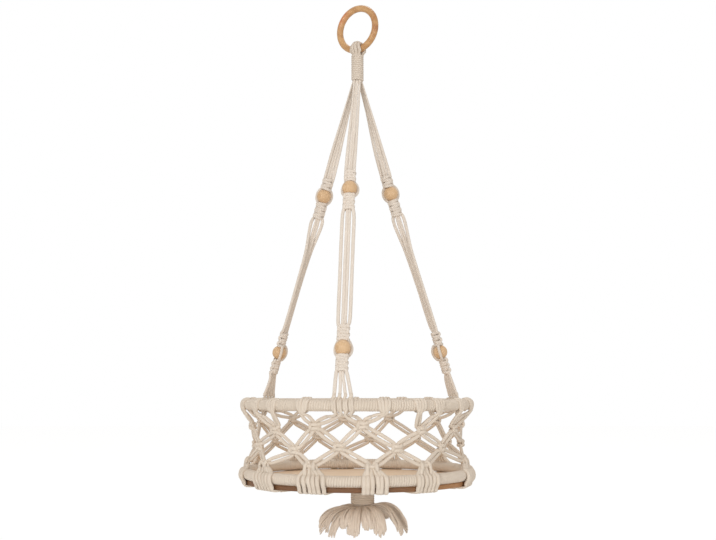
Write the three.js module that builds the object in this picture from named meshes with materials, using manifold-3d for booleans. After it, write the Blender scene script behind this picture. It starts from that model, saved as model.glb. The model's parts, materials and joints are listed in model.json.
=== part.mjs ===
// A hanging rope shelf: a wooden ring, a sling of knotted cotton cord on three arms, two cord-wrapped
// hoops with a diamond net between them, and a round wooden board tied in underneath.
// Millimetres, +Z up. The origin is the seat of the hook: the top of the hole in the hanging ring.
import * as THREE from 'three';
import * as BufferGeometryUtils from 'three/addons/utils/BufferGeometryUtils.js';
import Module from 'manifold-3d';

const wasm = await Module();
wasm.setup();

// Fits and finish
const seat_gap = 0.3;
const running_gap = 0.5;
const loop_clearance = 0.7;
const overrun = 3;
const weld_distance = 0.001;
const flat_shoulder_share = 0.7;

// Hanging ring
const ring_outer_diameter = 70;
const ring_thickness = 9.5;
const ring_turn = -34;
const ring_steps = 28;
const ring_sides = 8;

// Cord
const cord_diameter = 4;
const squeezed_cord_diameter = 2.7;
const loop_cord_diameter = 3.6;
const wrap_cord_diameter = 3.1;
const cord_sides = 6;

// Cord loops over the ring: two layers of three folded cords
const loop_layers = 2;
const loops_per_layer = 3;
const loop_overlap = 0.3;
const loop_steps = 6;
const loop_wrap_shares = [0.2, 0.17];
const loop_leg_offset = 4.4;
const loop_leg_length = 1.2;

// Neck: the twelve gathered cords and the winding that binds them
const neck_core_diameter = 10;
const neck_length = 39.5;
const neck_drop_below_ring = 3;
const neck_loops = 10;
const winding_steps = 12;
const winding_sides = 5;

// Arms: two straight cords inside, two working cords tied round them in flat knots
const upper_bead_drops = [268.7, 259.3, 262.7];
const lower_bead_rises = [71.5, 73, 72];
const arm_azimuths = [-6.8, 114.3, -121.4];
const arm_upper_twists = [0, 65.7, -58.6];
const arm_upper_sides = [1, -1, -1];
const arm_upper_shifts = [[-3.6, 0], [0, 4], [0, 1]];
const arm_lower_shifts = [[-2.8, 0], [0, 0], [0, -2]];
const untwist_length = 55;
const arm_top_radius = 4.9;
const arm_top_gap = 0.9;
const arm_foot_rise = 1;
const bead_diameter = 20;
const bead_bore_diameter = 9;
const bead_steps = 12;
const bead_rows = 6;
const bead_cord_lag_turn = 33;
const bead_cord_reach_turn = 57;
const bead_cord_steps = 5;
const filler_spacing = 3.3;
const knot_width = 17.6;
const knot_thickness = 9.2;
const knot_shoulder_share = 0.7;
const knot_waist_share = 0.86;
const upper_knot_length = 17.2;
const under_upper_knot_length = 24;
const over_lower_knot_length = 20.8;
const under_lower_knot_length = 21.8;
const knots_in_sinnets = [2, 3, 2, 3];
const knotted_cord_spacing = 13;
const free_cord_spacing = 15.5;
const foot_filler_spacing = 7.2;
const foot_working_spacing = 21.6;
const twist_steps = 3;
const untwist_steps = 2;

// Hoops
const hoop_diameter = 300;
const hoop_core_diameter = 8;
const hoop_wrap_thickness = 3.2;
const hoop_steps = 30;
const hoop_core_sides = 5;
const hoop_wrap_sides = 8;
const top_hoop_drop = 557.5;
const hoop_spacing = 90.9;
const wrap_seam = 1;

// Board
const board_overhang = 2;
const board_thickness = 6;
const board_edge_round = 2;
const board_steps = 32;
const board_rest_share = 0.8;

// Net: twelve groups of four cords, worked as pairs
const group_count = 12;
const arm_groups = [0, 4, 8];
const first_group_azimuth = -6.8;
const group_wanders = [0, -2, -3, -1, 1.1, 1.5, 0, -2, 5.4, 3, 1, 2];
const first_row_wanders = [-5.7, -4.6, -7.9, -3, 1, 2, -2, 1, 4, 3, 5.5, 0.4];
const second_row_wanders = [-2.2, -3.2, -3.9, -2, 2, 1, -3, 2, 3, 2, 1.5, 2.9];
const cluster_wanders = [-1.3, -3.8, 5, 1, -2, 2, 1, -2, 2, 3, -1.3, -1.1];
const first_row_drops = [23.5, 30.5, 30.5, 27.5, 29.5, 25.5, 28.5, 30.5, 26.5, 28.5, 31.5, 25.5];
const second_row_drops = [50.5, 52.5, 53.5, 51.5, 54.5, 50.5, 53.5, 52.5, 51.5, 54.5, 53.5, 55.5];
const arm_pair_spacing = 14.4;
const net_pair_turn = 9;
const first_row_draw_in = 6;
const second_row_draw_in = 7.5;
const gather_height = 17;
const gather_draw_in = 3;
const pair_width = 8;
const pair_thickness = 3.8;
const net_knot_half_width = 8.2;
const net_knot_thickness = 7.4;
const net_knot_length = 10;
const cluster_width = 29;
const cluster_cord_thickness = 3;
const cluster_tuck = 12;

// Cords under the board
const spoke_width = 15;
const spoke_inner_width = 8.6;
const spoke_hub_diameter = 36;
const spoke_reach_share = 0.67;
const spoke_end_gap = 0.95;

// Tassel
const tassel_shift = 7;
const tassel_neck_diameter = 32;
const tassel_neck_length = 21;
const tassel_gather_length = 6;
const tassel_gather_diameter = 13;
const tassel_gather_drop = 2.4;
const tassel_tip_diameter = 3.2;
const tassel_loops = 5;
const tassel_core_steps = 12;
const lock_count = 13;
const lock_thickness = 13;
const lock_reach = 61;
const lock_drops = [27, 18, 33, 16, 28, 20, 34, 17, 30, 22, 34, 16, 29];
const lock_reach_shares = [0.84, 1, 0.72, 0.98, 0.8, 0.95, 0.7, 1, 0.78, 0.94, 0.7, 1, 0.76];
const lock_start_share = 0.45;
const lock_top_share = 0.25;
const lock_hub_share = 0.6;
const lock_bow_turn = 77;
const lock_shares = [0, 0.28, 0.62, 1];
const lock_fall_shares = [0, 0.06, 0.34, 1];
const lock_thickness_shares = [0.5, 0.8, 1, 0.72];
const lock_sides = 5;

// Finishes, matched by eye
const cotton = { color: 0xe1d4c3, roughness: 0.92, metalness: 0 };
const shaded_cotton = { color: 0xcabba6, roughness: 0.94, metalness: 0 };
const bead_wood = { color: 0xd9b588, roughness: 0.62, metalness: 0 };
const ring_wood = { color: 0xcd965f, roughness: 0.5, metalness: 0 };
const board_wood = { color: 0xd9bc95, roughness: 0.66, metalness: 0 };
const steel_rod = { color: 0x8f8b84, roughness: 0.5, metalness: 0.9 };

// Places that follow from the sizes above
const ring_radius = (ring_outer_diameter - ring_thickness) / 2;
const ring_tube_radius = ring_thickness / 2;
const ring_centre_z = -(ring_radius - ring_tube_radius);
const ring_bottom_z = ring_centre_z - ring_radius;
const neck_top_z = ring_bottom_z - ring_tube_radius - neck_drop_below_ring;
const neck_bottom_z = neck_top_z - neck_length;
const cord_radius = cord_diameter / 2;
const squeezed_filler_spacing = (filler_spacing * squeezed_cord_diameter) / cord_diameter;
const hoop_radius = hoop_diameter / 2;
const hoop_wrap_radius = hoop_core_diameter / 2 + hoop_wrap_thickness;
const top_hoop_z = -top_hoop_drop;
const bottom_hoop_z = top_hoop_z - hoop_spacing;
const board_top_z = bottom_hoop_z - hoop_wrap_radius - seat_gap;
const board_bottom_z = board_top_z - board_thickness;
const board_radius = hoop_radius + board_overhang;
const first_row_radius = hoop_radius - first_row_draw_in;
const second_row_radius = hoop_radius - second_row_draw_in;
const gather_radius = hoop_radius - gather_draw_in;
const hitch_turn = 54;
const cluster_turn = 45;
const hitch_radius = (hoop_wrap_radius + running_gap + pair_thickness / 2) / cosine(hitch_turn / 2);
const cluster_radius = (hoop_wrap_radius + running_gap + cluster_cord_thickness / 2)
  / cosine(cluster_turn / 2);
const spoke_z = board_bottom_z - running_gap - cluster_cord_thickness / 2;
const spoke_outer_radius = board_radius - cluster_tuck - spoke_end_gap;
const tassel_pivot_z = spoke_z - cluster_cord_thickness / 2 - seat_gap;

function cosine(degrees) {
  return Math.cos(THREE.MathUtils.degToRad(degrees));
}

function sine(degrees) {
  return Math.sin(THREE.MathUtils.degToRad(degrees));
}

// Azimuth 0 faces -Y and grows towards +X.
function outward(azimuth) {
  return new THREE.Vector3(sine(azimuth), -cosine(azimuth), 0);
}

function sideways(azimuth) {
  return new THREE.Vector3(cosine(azimuth), sine(azimuth), 0);
}

function onCylinder(azimuth, radius, z) {
  return outward(azimuth).multiplyScalar(radius).setZ(z);
}

// Geometry helpers

function skin(positions) {
  const loose = new THREE.BufferGeometry();
  loose.setAttribute('position', new THREE.Float32BufferAttribute(positions, 3));
  return loose;
}

// A closed skin over rings of points that all have the same count. The ends are capped flat,
// or the last ring joins the first.
function loft(rings, closed = false) {
  const count = rings[0].length;
  const positions = [];
  const corner = (ring, side) => rings[ring % rings.length][side % count];
  const triangle = (a, b, c) => positions.push(...a.toArray(), ...b.toArray(), ...c.toArray());
  const spans = closed ? rings.length : rings.length - 1;
  for (let ring = 0; ring < spans; ring += 1) {
    for (let side = 0; side < count; side += 1) {
      triangle(corner(ring, side), corner(ring, side + 1), corner(ring + 1, side + 1));
      triangle(corner(ring, side), corner(ring + 1, side + 1), corner(ring + 1, side));
    }
  }
  if (!closed) {
    const last = rings.length - 1;
    for (let side = 1; side < count - 1; side += 1) {
      triangle(corner(0, 0), corner(0, side + 1), corner(0, side));
      triangle(corner(last, 0), corner(last, side), corner(last, side + 1));
    }
  }
  return skin(positions);
}

// One ring of a sweep: a section of (across, thick) pairs round a centre.
function sectionRing(centre, direction, across, section) {
  const thick = new THREE.Vector3().crossVectors(direction, across).normalize();
  return section.map(([a, b]) => centre.clone().addScaledVector(across, a).addScaledVector(thick, b));
}

function roundSection(radius, sides) {
  const section = [];
  for (let side = 0; side < sides; side += 1) {
    const angle = (360 * side) / sides;
    section.push([radius * cosine(angle), radius * sine(angle)]);
  }
  return section;
}

function slabSection(halfWidth, halfThickness) {
  return [
    [halfWidth, -halfThickness], [halfWidth, halfThickness],
    [-halfWidth, halfThickness], [-halfWidth, -halfThickness],
  ];
}

function flatSection(halfWidth, halfThickness) {
  const shoulder = halfWidth - halfThickness * flat_shoulder_share;
  return [
    [halfWidth, 0], [shoulder, halfThickness], [-shoulder, halfThickness],
    [-halfWidth, 0], [-shoulder, -halfThickness], [shoulder, -halfThickness],
  ];
}

function knotSection(halfWidth, halfThickness) {
  const shoulder = halfWidth * knot_shoulder_share;
  return [
    [halfWidth, 0], [shoulder, halfThickness], [-shoulder, halfThickness],
    [-halfWidth, 0], [-shoulder, -halfThickness], [shoulder, -halfThickness],
  ];
}

function directions(points, closed = false) {
  const last = points.length - 1;
  return points.map((point, index) => {
    const before = closed ? points[(index + last) % points.length] : points[Math.max(index - 1, 0)];
    const after = closed ? points[(index + 1) % points.length] : points[Math.min(index + 1, last)];
    return new THREE.Vector3().subVectors(after, before).normalize();
  });
}

// A round tube through points, with a radius for each and a side vector that is never along it.
function tube(points, radii, sides, side) {
  const ways = directions(points);
  const rings = points.map((point, index) => {
    const across = side.clone().addScaledVector(ways[index], -side.dot(ways[index])).normalize();
    return sectionRing(point, ways[index], across, roundSection(radii[index], sides));
  });
  return loft(rings);
}

function solid(geometry) {
  const bare = geometry.clone();
  bare.deleteAttribute('normal');
  bare.deleteAttribute('uv');
  const merged = BufferGeometryUtils.mergeVertices(bare, weld_distance);
  const kept = [];
  const index = merged.index.array;
  for (let i = 0; i < index.length; i += 3) {
    const [a, b, c] = [index[i], index[i + 1], index[i + 2]];
    if (a !== b && b !== c && c !== a) kept.push(a, b, c);
  }
  const mesh = new wasm.Mesh({
    numProp: 3,
    vertProperties: merged.attributes.position.array,
    triVerts: new Uint32Array(kept),
  });
  return new wasm.Manifold(mesh);
}

function fromSolid(body) {
  const mesh = body.getMesh();
  const geometry = new THREE.BufferGeometry();
  geometry.setAttribute('position', new THREE.BufferAttribute(mesh.vertProperties, 3));
  geometry.setIndex(new THREE.BufferAttribute(mesh.triVerts, 1));
  return geometry;
}

function joined(geometries, cuts = []) {
  let body = solid(geometries[0]);
  for (const geometry of geometries.slice(1)) body = body.add(solid(geometry));
  for (const cut of cuts) body = body.subtract(solid(cut));
  return fromSolid(body);
}

// A turned solid: its profile is (radius, z) points round the Z axis.
function turned(profile, steps) {
  const geometry = new THREE.LatheGeometry(profile.map(([r, z]) => new THREE.Vector2(r, z)), steps);
  return geometry.rotateX(Math.PI / 2);
}

function piece(name, geometry, finish) {
  geometry.computeVertexNormals();
  const mesh = new THREE.Mesh(geometry, new THREE.MeshStandardMaterial(finish));
  mesh.name = name;
  return mesh;
}

const number = (index) => String(index + 1).padStart(2, '0');

// Hanging ring, and the cords folded over it

function hangingRing() {
  const geometry = new THREE.TorusGeometry(ring_radius, ring_tube_radius, ring_sides, ring_steps);
  const mesh = piece('hanging_ring', geometry, ring_wood);
  mesh.rotation.set(Math.PI / 2, 0, 0);
  mesh.position.z = ring_centre_z;
  return mesh;
}

// The ring hangs in the XZ plane of its group, so a strand lies in the plane of Y and Z,
// swung along the ring by its place in the row.
function loopStrand(layer, place) {
  const pitch = loop_cord_diameter - loop_overlap;
  const hug = ring_tube_radius + loop_clearance + loop_cord_diameter / 2 + layer * pitch;
  const reach = 180 * (0.5 + loop_wrap_shares[layer]);
  const points = [];
  for (let step = 0; step <= loop_steps; step += 1) {
    const angle = reach * ((2 * step) / loop_steps - 1);
    points.push(new THREE.Vector3(0, hug * sine(angle), ring_bottom_z + hug * cosine(angle)));
  }
  const leg = loop_leg_offset + layer * pitch;
  const end = neck_top_z + seat_gap;
  for (const z of [end + loop_leg_length, end]) {
    points.unshift(new THREE.Vector3(0, -leg, z));
    points.push(new THREE.Vector3(0, leg, z));
  }
  const swing = ((place - (loops_per_layer - 1) / 2) * pitch) / ring_radius;
  for (const point of points) {
    const height = point.z - ring_centre_z;
    const swung = Math.max(neck_top_z + seat_gap, ring_centre_z + height * Math.cos(swing));
    point.set(height * Math.sin(swing), point.y, swung);
  }
  const radii = points.map(() => loop_cord_diameter / 2);
  return tube(points, radii, cord_sides, new THREE.Vector3(1, 0, 0));
}

function ringLoop() {
  const strands = [];
  for (let layer = 0; layer < loop_layers; layer += 1) {
    for (let place = 0; place < loops_per_layer; place += 1) strands.push(loopStrand(layer, place));
  }
  return piece('ring_loop', joined(strands), cotton);
}

// A winding as one unbroken tube, its ends straight for one tube diameter.
function winding(innerRadius, topZ, length, loops) {
  const radius = (innerRadius + seat_gap + wrap_cord_diameter / 2) / cosine(180 / winding_steps);
  const rise = (length - wrap_cord_diameter) / loops;
  const startZ = topZ - wrap_cord_diameter / 2;
  const points = [];
  for (let step = 0; step <= loops * winding_steps; step += 1) {
    const turns = step / winding_steps;
    points.push(onCylinder(360 * turns, radius, startZ - rise * turns));
  }
  const ways = directions(points);
  points.unshift(points[0].clone().addScaledVector(ways[0], -wrap_cord_diameter));
  points.push(points[points.length - 1].clone().addScaledVector(ways[ways.length - 1], wrap_cord_diameter));
  const radii = points.map(() => wrap_cord_diameter / 2);
  return { geometry: tube(points, radii, winding_sides, new THREE.Vector3(0, 0, 1)), points };
}

// The least gap between loops: points more than half a loop apart along the tube.
function leastSelfGap(points) {
  let least = Infinity;
  for (let i = 0; i < points.length; i += 1) {
    for (let j = i + winding_steps / 2; j < points.length; j += 1) {
      least = Math.min(least, points[i].distanceTo(points[j]));
    }
  }
  return least - wrap_cord_diameter;
}

function neck() {
  const radius = neck_core_diameter / 2;
  const core = new THREE.CylinderGeometry(radius, radius, neck_length, winding_steps);
  const cords = piece('neck_cords', core, cotton);
  cords.rotation.x = Math.PI / 2;
  cords.position.z = (neck_top_z + neck_bottom_z) / 2;
  const wound = winding(radius, neck_top_z, neck_length, neck_loops);
  console.log(`neck winding least gap ${leastSelfGap(wound.points).toFixed(2)} mm`);
  return [cords, piece('neck_wrap', wound.geometry, cotton)];
}

// Arms

function beadGeometry() {
  const radius = bead_diameter / 2;
  const bore = bead_bore_diameter / 2;
  const edge = THREE.MathUtils.radToDeg(Math.acos(bore / radius));
  const profile = [];
  for (let row = 0; row <= bead_rows; row += 1) {
    const angle = edge * ((2 * row) / bead_rows - 1);
    profile.push([radius * cosine(angle), radius * sine(angle)]);
  }
  profile.push(profile[0]);
  return turned(profile, bead_steps);
}

// Everything on an arm is placed by its distance s down the arm from the neck.
function armLayout(index) {
  const azimuth = arm_azimuths[index];
  const topZ = neck_bottom_z - arm_top_gap;
  const footZ = top_hoop_z + hoop_wrap_radius + running_gap + pair_thickness + arm_foot_rise;
  const slant = Math.atan2(hoop_radius - arm_top_radius, topZ - footZ);
  const length = (topZ - footZ) / Math.cos(slant);
  const down = (drop) => (topZ + drop) / Math.cos(slant);
  const beads = [down(upper_bead_drops[index]), down(top_hoop_drop - lower_bead_rises[index])];
  const halfBead = Math.sqrt(bead_diameter ** 2 - bead_bore_diameter ** 2) / 2 + seat_gap;
  const sinnets = [
    [beads[0] - halfBead - upper_knot_length, beads[0] - halfBead],
    [beads[0] + halfBead, beads[0] + halfBead + under_upper_knot_length],
    [beads[1] - halfBead - over_lower_knot_length, beads[1] - halfBead],
    [beads[1] + halfBead, beads[1] + halfBead + under_lower_knot_length],
  ];
  const untwisted = sinnets[1][1] + untwist_length;
  const upperTwist = arm_upper_twists[index];
  const shifts = [arm_upper_shifts[index], arm_lower_shifts[index]];
  return { azimuth, topZ, slant, length, beads, sinnets, untwisted, upperTwist, shifts };
}

// The four cords hang as a flat band. It turns to its upper twist by the first knots,
// and a little below the second it faces outwards again.
function bandTwist(layout, s) {
  const { sinnets, untwisted, upperTwist } = layout;
  if (s <= sinnets[0][0]) return upperTwist * (s / sinnets[0][0]);
  if (s <= sinnets[1][1]) return upperTwist;
  if (s >= untwisted) return 0;
  return upperTwist * (1 - (s - sinnets[1][1]) / untwist_length);
}

// The band bows a little from its straight line: across it and inwards, most at the beads.
function bandShift(layout, s) {
  const { sinnets, length, shifts } = layout;
  const passed = (from, to) => Math.min(1, Math.max(0, (s - from) / (to - from)));
  const lower = passed(sinnets[1][1], sinnets[2][0]);
  const held = passed(0, sinnets[0][0]) * (1 - passed(sinnets[3][1], length));
  return shifts[0].map((shift, side) => held * (shift * (1 - lower) + shifts[1][side] * lower));
}

function onBand(layout, s, across, thick) {
  const twist = bandTwist(layout, s);
  const [aside, inwards] = bandShift(layout, s);
  const x = across * cosine(twist) - thick * sine(twist);
  const y = across * sine(twist) + thick * cosine(twist);
  return new THREE.Vector3(x + aside, y + inwards, -s);
}

// Stations down a cord: the distance s, its offset across the band and behind it, and its radius.
function stretch(from, to, steps) {
  const stations = [];
  for (let step = 0; step <= steps; step += 1) {
    const share = step / steps;
    stations.push(from.map((value, column) => value + (to[column] - value) * share));
  }
  return stations;
}

function cordThrough(layout, stations) {
  const points = stations.map(([s, across, thick]) => onBand(layout, s, across, thick));
  const ways = directions(points);
  const rings = points.map((point, index) => {
    const twist = bandTwist(layout, stations[index][0]);
    const side = new THREE.Vector3(cosine(twist), sine(twist), 0);
    const across = side.addScaledVector(ways[index], -side.dot(ways[index])).normalize();
    return sectionRing(point, ways[index], across, roundSection(stations[index][3], cord_sides));
  });
  return loft(rings);
}

function fillerCords(layout) {
  const { sinnets, untwisted, length } = layout;
  const half = filler_spacing / 2;
  const top = squeezed_filler_spacing / 2;
  const cords = [-1, 1].map((hand) => cordThrough(layout, [
    ...stretch([0, hand * top, 0, squeezed_cord_diameter / 2],
      [sinnets[0][0], hand * half, 0, cord_radius], twist_steps),
    ...stretch([sinnets[1][1], hand * half, 0, cord_radius],
      [untwisted, hand * half, 0, cord_radius], untwist_steps),
    [sinnets[2][0], hand * half, 0, cord_radius],
    [sinnets[3][1], hand * half, 0, cord_radius],
    [length, (hand * foot_filler_spacing) / 2, 0, cord_radius],
  ]));
  return joined(cords);
}

// A working cord runs round the bead on a sphere that clears it, a little behind its widest place.
function roundBead(s, hand, side) {
  const reach = bead_diameter / 2 + running_gap + cord_radius;
  const stations = [];
  for (let step = 0; step <= bead_cord_steps; step += 1) {
    const angle = bead_cord_reach_turn * ((2 * step) / bead_cord_steps - 1);
    const ring = reach * cosine(angle);
    const across = hand * ring * cosine(bead_cord_lag_turn);
    stations.push([s + reach * sine(angle), across, side * ring * sine(bead_cord_lag_turn), cord_radius]);
  }
  return stations;
}

function sinnet(layout, index) {
  const [start, end] = layout.sinnets[index];
  const rows = knots_in_sinnets[index] * 2;
  const twist = bandTwist(layout, start);
  const across = new THREE.Vector3(cosine(twist), sine(twist), 0);
  const rings = [];
  for (let row = 0; row <= rows; row += 1) {
    const share = row % 2 === 0 ? knot_waist_share : 1;
    const section = knotSection((knot_width / 2) * share, (knot_thickness / 2) * share);
    const centre = onBand(layout, start + ((end - start) * row) / rows, 0, 0);
    rings.push(sectionRing(centre, new THREE.Vector3(0, 0, -1), across, section));
  }
  return loft(rings);
}

function fillerBore(layout, index) {
  const [start, end] = layout.sinnets[index];
  const twist = bandTwist(layout, start);
  const across = new THREE.Vector3(cosine(twist), sine(twist), 0);
  const halfWidth = filler_spacing / 2 + cord_radius + seat_gap;
  const halfThickness = cord_radius + seat_gap;
  const section = slabSection(halfWidth, halfThickness);
  const rings = [start - overrun, end + overrun].map((s) => sectionRing(
    onBand(layout, start, 0, 0).setZ(-s), new THREE.Vector3(0, 0, -1), across, section));
  return loft(rings);
}

function workingCords(layout, upperSide) {
  const { sinnets, beads, untwisted, length } = layout;
  const knotted = knotted_cord_spacing / 2;
  const free = free_cord_spacing / 2;
  const start = squeezed_filler_spacing / 2 + squeezed_cord_diameter + seat_gap;
  const parts = [];
  for (const hand of [-1, 1]) {
    parts.push(cordThrough(layout, stretch([0, hand * start, 0, squeezed_cord_diameter / 2],
      [sinnets[0][0] + overrun, hand * knotted, 0, cord_radius], twist_steps)));
    parts.push(cordThrough(layout, roundBead(beads[0], hand, upperSide)));
    parts.push(cordThrough(layout, [
      [sinnets[1][1] - overrun, hand * knotted, 0, cord_radius],
      ...stretch([sinnets[1][1] + 2 * overrun, hand * free, 0, cord_radius],
        [untwisted, hand * free, 0, cord_radius], untwist_steps),
      [sinnets[2][0] - 2 * overrun, hand * free, 0, cord_radius],
      [sinnets[2][0] + overrun, hand * knotted, 0, cord_radius],
    ]));
    parts.push(cordThrough(layout, roundBead(beads[1], hand, 1)));
    parts.push(cordThrough(layout, [
      [sinnets[3][1] - overrun, hand * knotted, 0, cord_radius],
      [sinnets[3][1] + 2 * overrun, hand * free, 0, cord_radius],
      [length, (hand * foot_working_spacing) / 2, 0, cord_radius],
    ]));
  }
  const bores = [];
  sinnets.forEach((span, index) => {
    parts.push(sinnet(layout, index));
    bores.push(fillerBore(layout, index));
  });
  return joined(parts, bores);
}

function arm(index) {
  const layout = armLayout(index);
  const name = ['front_arm', 'right_arm', 'left_arm'][index];
  const group = new THREE.Group();
  group.rotation.set(-layout.slant, 0, THREE.MathUtils.degToRad(layout.azimuth), 'ZXY');
  group.position.copy(onCylinder(layout.azimuth, arm_top_radius, layout.topZ));
  group.add(piece(`${name}_filler_cords`, fillerCords(layout), cotton));
  group.add(piece(`${name}_knotted_cords`, workingCords(layout, arm_upper_sides[index]), cotton));
  layout.beads.forEach((s, place) => {
    const bead = piece(`${name}_${['upper', 'lower'][place]}_bead`, beadGeometry(), bead_wood);
    bead.position.copy(onBand(layout, s, 0, 0));
    group.add(bead);
  });
  return group;
}

// Hoops

function hoopRing(azimuth, radius, sides, z) {
  const section = roundSection(radius, sides);
  const across = outward(azimuth);
  return sectionRing(onCylinder(azimuth, hoop_radius, z), sideways(azimuth), across, section);
}

function hoopCore(name, z) {
  const rings = [];
  for (let step = 0; step < hoop_steps; step += 1) {
    rings.push(hoopRing((360 * step) / hoop_steps, hoop_core_diameter / 2, hoop_core_sides, z));
  }
  return piece(name, loft(rings, true), steel_rod);
}

// The winding is laid so close that it reads as one sleeve. Its start and end meet at a narrow seam,
// at the back, where the sleeve is open.
function hoopWrap(name, z) {
  const seam = THREE.MathUtils.radToDeg(wrap_seam / hoop_radius);
  const sleeve = (radius, sides) => {
    const rings = [];
    for (let step = 0; step <= hoop_steps; step += 1) {
      const azimuth = 180 + seam / 2 + ((360 - seam) * step) / hoop_steps;
      rings.push(hoopRing(azimuth, radius, sides, z));
    }
    return rings;
  };
  const outer = sleeve(hoop_wrap_radius, hoop_wrap_sides);
  const inner = sleeve(hoop_core_diameter / 2 + seat_gap, hoop_core_sides);
  return piece(name, sleeveSkin(outer, inner), cotton);
}

// A pipe with open ends, from its outer and inner rings: the end faces are flat rims.
function sleeveSkin(outer, inner) {
  const positions = [];
  const triangle = (a, b, c) => positions.push(...a.toArray(), ...b.toArray(), ...c.toArray());
  const wall = (rings, inside) => {
    const count = rings[0].length;
    for (let ring = 0; ring < rings.length - 1; ring += 1) {
      for (let side = 0; side < count; side += 1) {
        const a = rings[ring][side];
        const b = rings[ring][(side + 1) % count];
        const c = rings[ring + 1][(side + 1) % count];
        const d = rings[ring + 1][side];
        if (inside) {
          triangle(a, c, b);
          triangle(a, d, c);
        } else {
          triangle(a, b, c);
          triangle(a, c, d);
        }
      }
    }
  };
  wall(outer, false);
  wall(inner, true);
  rim(outer[0], inner[0], triangle, true);
  rim(outer[outer.length - 1], inner[inner.length - 1], triangle, false);
  return skin(positions);
}

// A flat rim between two rings with different counts, walked by angle.
function rim(outer, inner, triangle, start) {
  let i = 0;
  let j = 0;
  while (i < outer.length || j < inner.length) {
    const a = outer[i % outer.length];
    const b = inner[j % inner.length];
    const nextOuter = (i + 1.5) / outer.length;
    const nextInner = (j + 1.5) / inner.length;
    if (j >= inner.length || (i < outer.length && nextOuter <= nextInner)) {
      const next = outer[(i + 1) % outer.length];
      if (start) triangle(a, b, next);
      else triangle(a, next, b);
      i += 1;
    } else {
      const next = inner[(j + 1) % inner.length];
      if (start) triangle(a, b, next);
      else triangle(a, next, b);
      j += 1;
    }
  }
}

// Board

function board() {
  const profile = [
    [0, board_bottom_z], [board_radius - board_edge_round, board_bottom_z],
    [board_radius, board_bottom_z + board_edge_round], [board_radius, board_top_z - board_edge_round],
    [board_radius - board_edge_round, board_top_z], [board_radius * board_rest_share, board_top_z],
    [0, board_top_z],
  ];
  return piece('shelf_board', turned(profile, board_steps), board_wood);
}

// Net

// Groups are counted round the hoop; the one before the first is the last, a turn back.
const groupAzimuth = (group) => first_group_azimuth + (360 * group) / group_count;
const slot = (group) => (group + group_count) % group_count;

function topAzimuth(group) {
  return groupAzimuth(group) + group_wanders[slot(group)];
}

function firstRowAzimuth(group) {
  return groupAzimuth(group + 0.5) + first_row_wanders[slot(group)];
}

function secondRowAzimuth(group) {
  return groupAzimuth(group) + second_row_wanders[slot(group)];
}

function clusterAzimuth(group) {
  return groupAzimuth(group + 0.5) + cluster_wanders[slot(group)];
}

function station(azimuth, offset, radius, z, halfWidth, halfThickness, level = true) {
  const turned = azimuth + THREE.MathUtils.radToDeg(offset / radius);
  return { azimuth: turned, radius, z, halfWidth, halfThickness, level };
}

// A pair of cords over the top hoop, from its inner side over the top to its underside.
function hitchStations(azimuth, offset) {
  const stations = [];
  for (let turn = 180; turn >= -90; turn -= hitch_turn) {
    const radius = hoop_radius + hitch_radius * cosine(turn);
    const z = top_hoop_z + hitch_radius * sine(turn);
    const place = station(azimuth, 0, radius, z, pair_width / 2, pair_thickness / 2);
    place.slide = offset;
    stations.push(place);
  }
  return stations;
}

function knotStations(azimuth, hand, radius, z, middle) {
  const half = net_knot_half_width / 2;
  const offset = hand * middle;
  const waist = knot_waist_share * half;
  const thin = pair_thickness / 2;
  return [
    station(azimuth, offset, radius, z + net_knot_length / 2, waist, thin),
    station(azimuth, offset, radius, z, half, net_knot_thickness / 2),
    station(azimuth, offset, radius, z - net_knot_length / 2, waist, thin),
  ];
}

function between(from, to) {
  const azimuth = (from.azimuth + to.azimuth) / 2;
  const radius = (from.radius + to.radius) / 2;
  return station(azimuth, 0, radius, (from.z + to.z) / 2, pair_width / 2, pair_thickness / 2, false);
}

// A half cluster goes over the bottom hoop, down past the rim of the board and in under it.
function clusterStations(azimuth, hand) {
  const thin = cluster_cord_thickness / 2;
  const half = cluster_width / 4 - seat_gap;
  const offset = hand * (half + seat_gap);
  const narrow = pair_width / 2;
  const gatherZ = bottom_hoop_z + gather_height;
  const stations = [station(azimuth, hand * (narrow + seat_gap), gather_radius, gatherZ, narrow, thin)];
  for (let turn = 90; turn >= 0; turn -= cluster_turn) {
    const radius = hoop_radius + cluster_radius * cosine(turn);
    const z = bottom_hoop_z + cluster_radius * sine(turn);
    stations.push(station(azimuth, offset, radius, z, half, thin));
  }
  const outside = board_radius + cluster_cord_thickness;
  const under = board_bottom_z - running_gap - thin;
  stations.push(station(azimuth, offset, outside, board_bottom_z - seat_gap, half, thin));
  stations.push(station(azimuth, offset, board_radius - thin, under, half, thin));
  const end = board_radius - cluster_tuck;
  stations.push(station(azimuth, offset, end, under, half, thin));
  return stations;
}

function pairLoft(stations) {
  const points = stations.map((place) => {
    const point = onCylinder(place.azimuth, place.radius, place.z);
    if (place.slide) point.addScaledVector(sideways(place.azimuth), place.slide);
    return point;
  });
  const ways = directions(points);
  const rings = points.map((point, index) => {
    const place = stations[index];
    const way = ways[index];
    const across = sideways(place.azimuth);
    if (place.level) way.addScaledVector(across, -way.dot(across)).normalize();
    else across.crossVectors(outward(place.azimuth), way).normalize();
    return sectionRing(point, way, across, flatSection(place.halfWidth, place.halfThickness));
  });
  return loft(rings);
}

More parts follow.
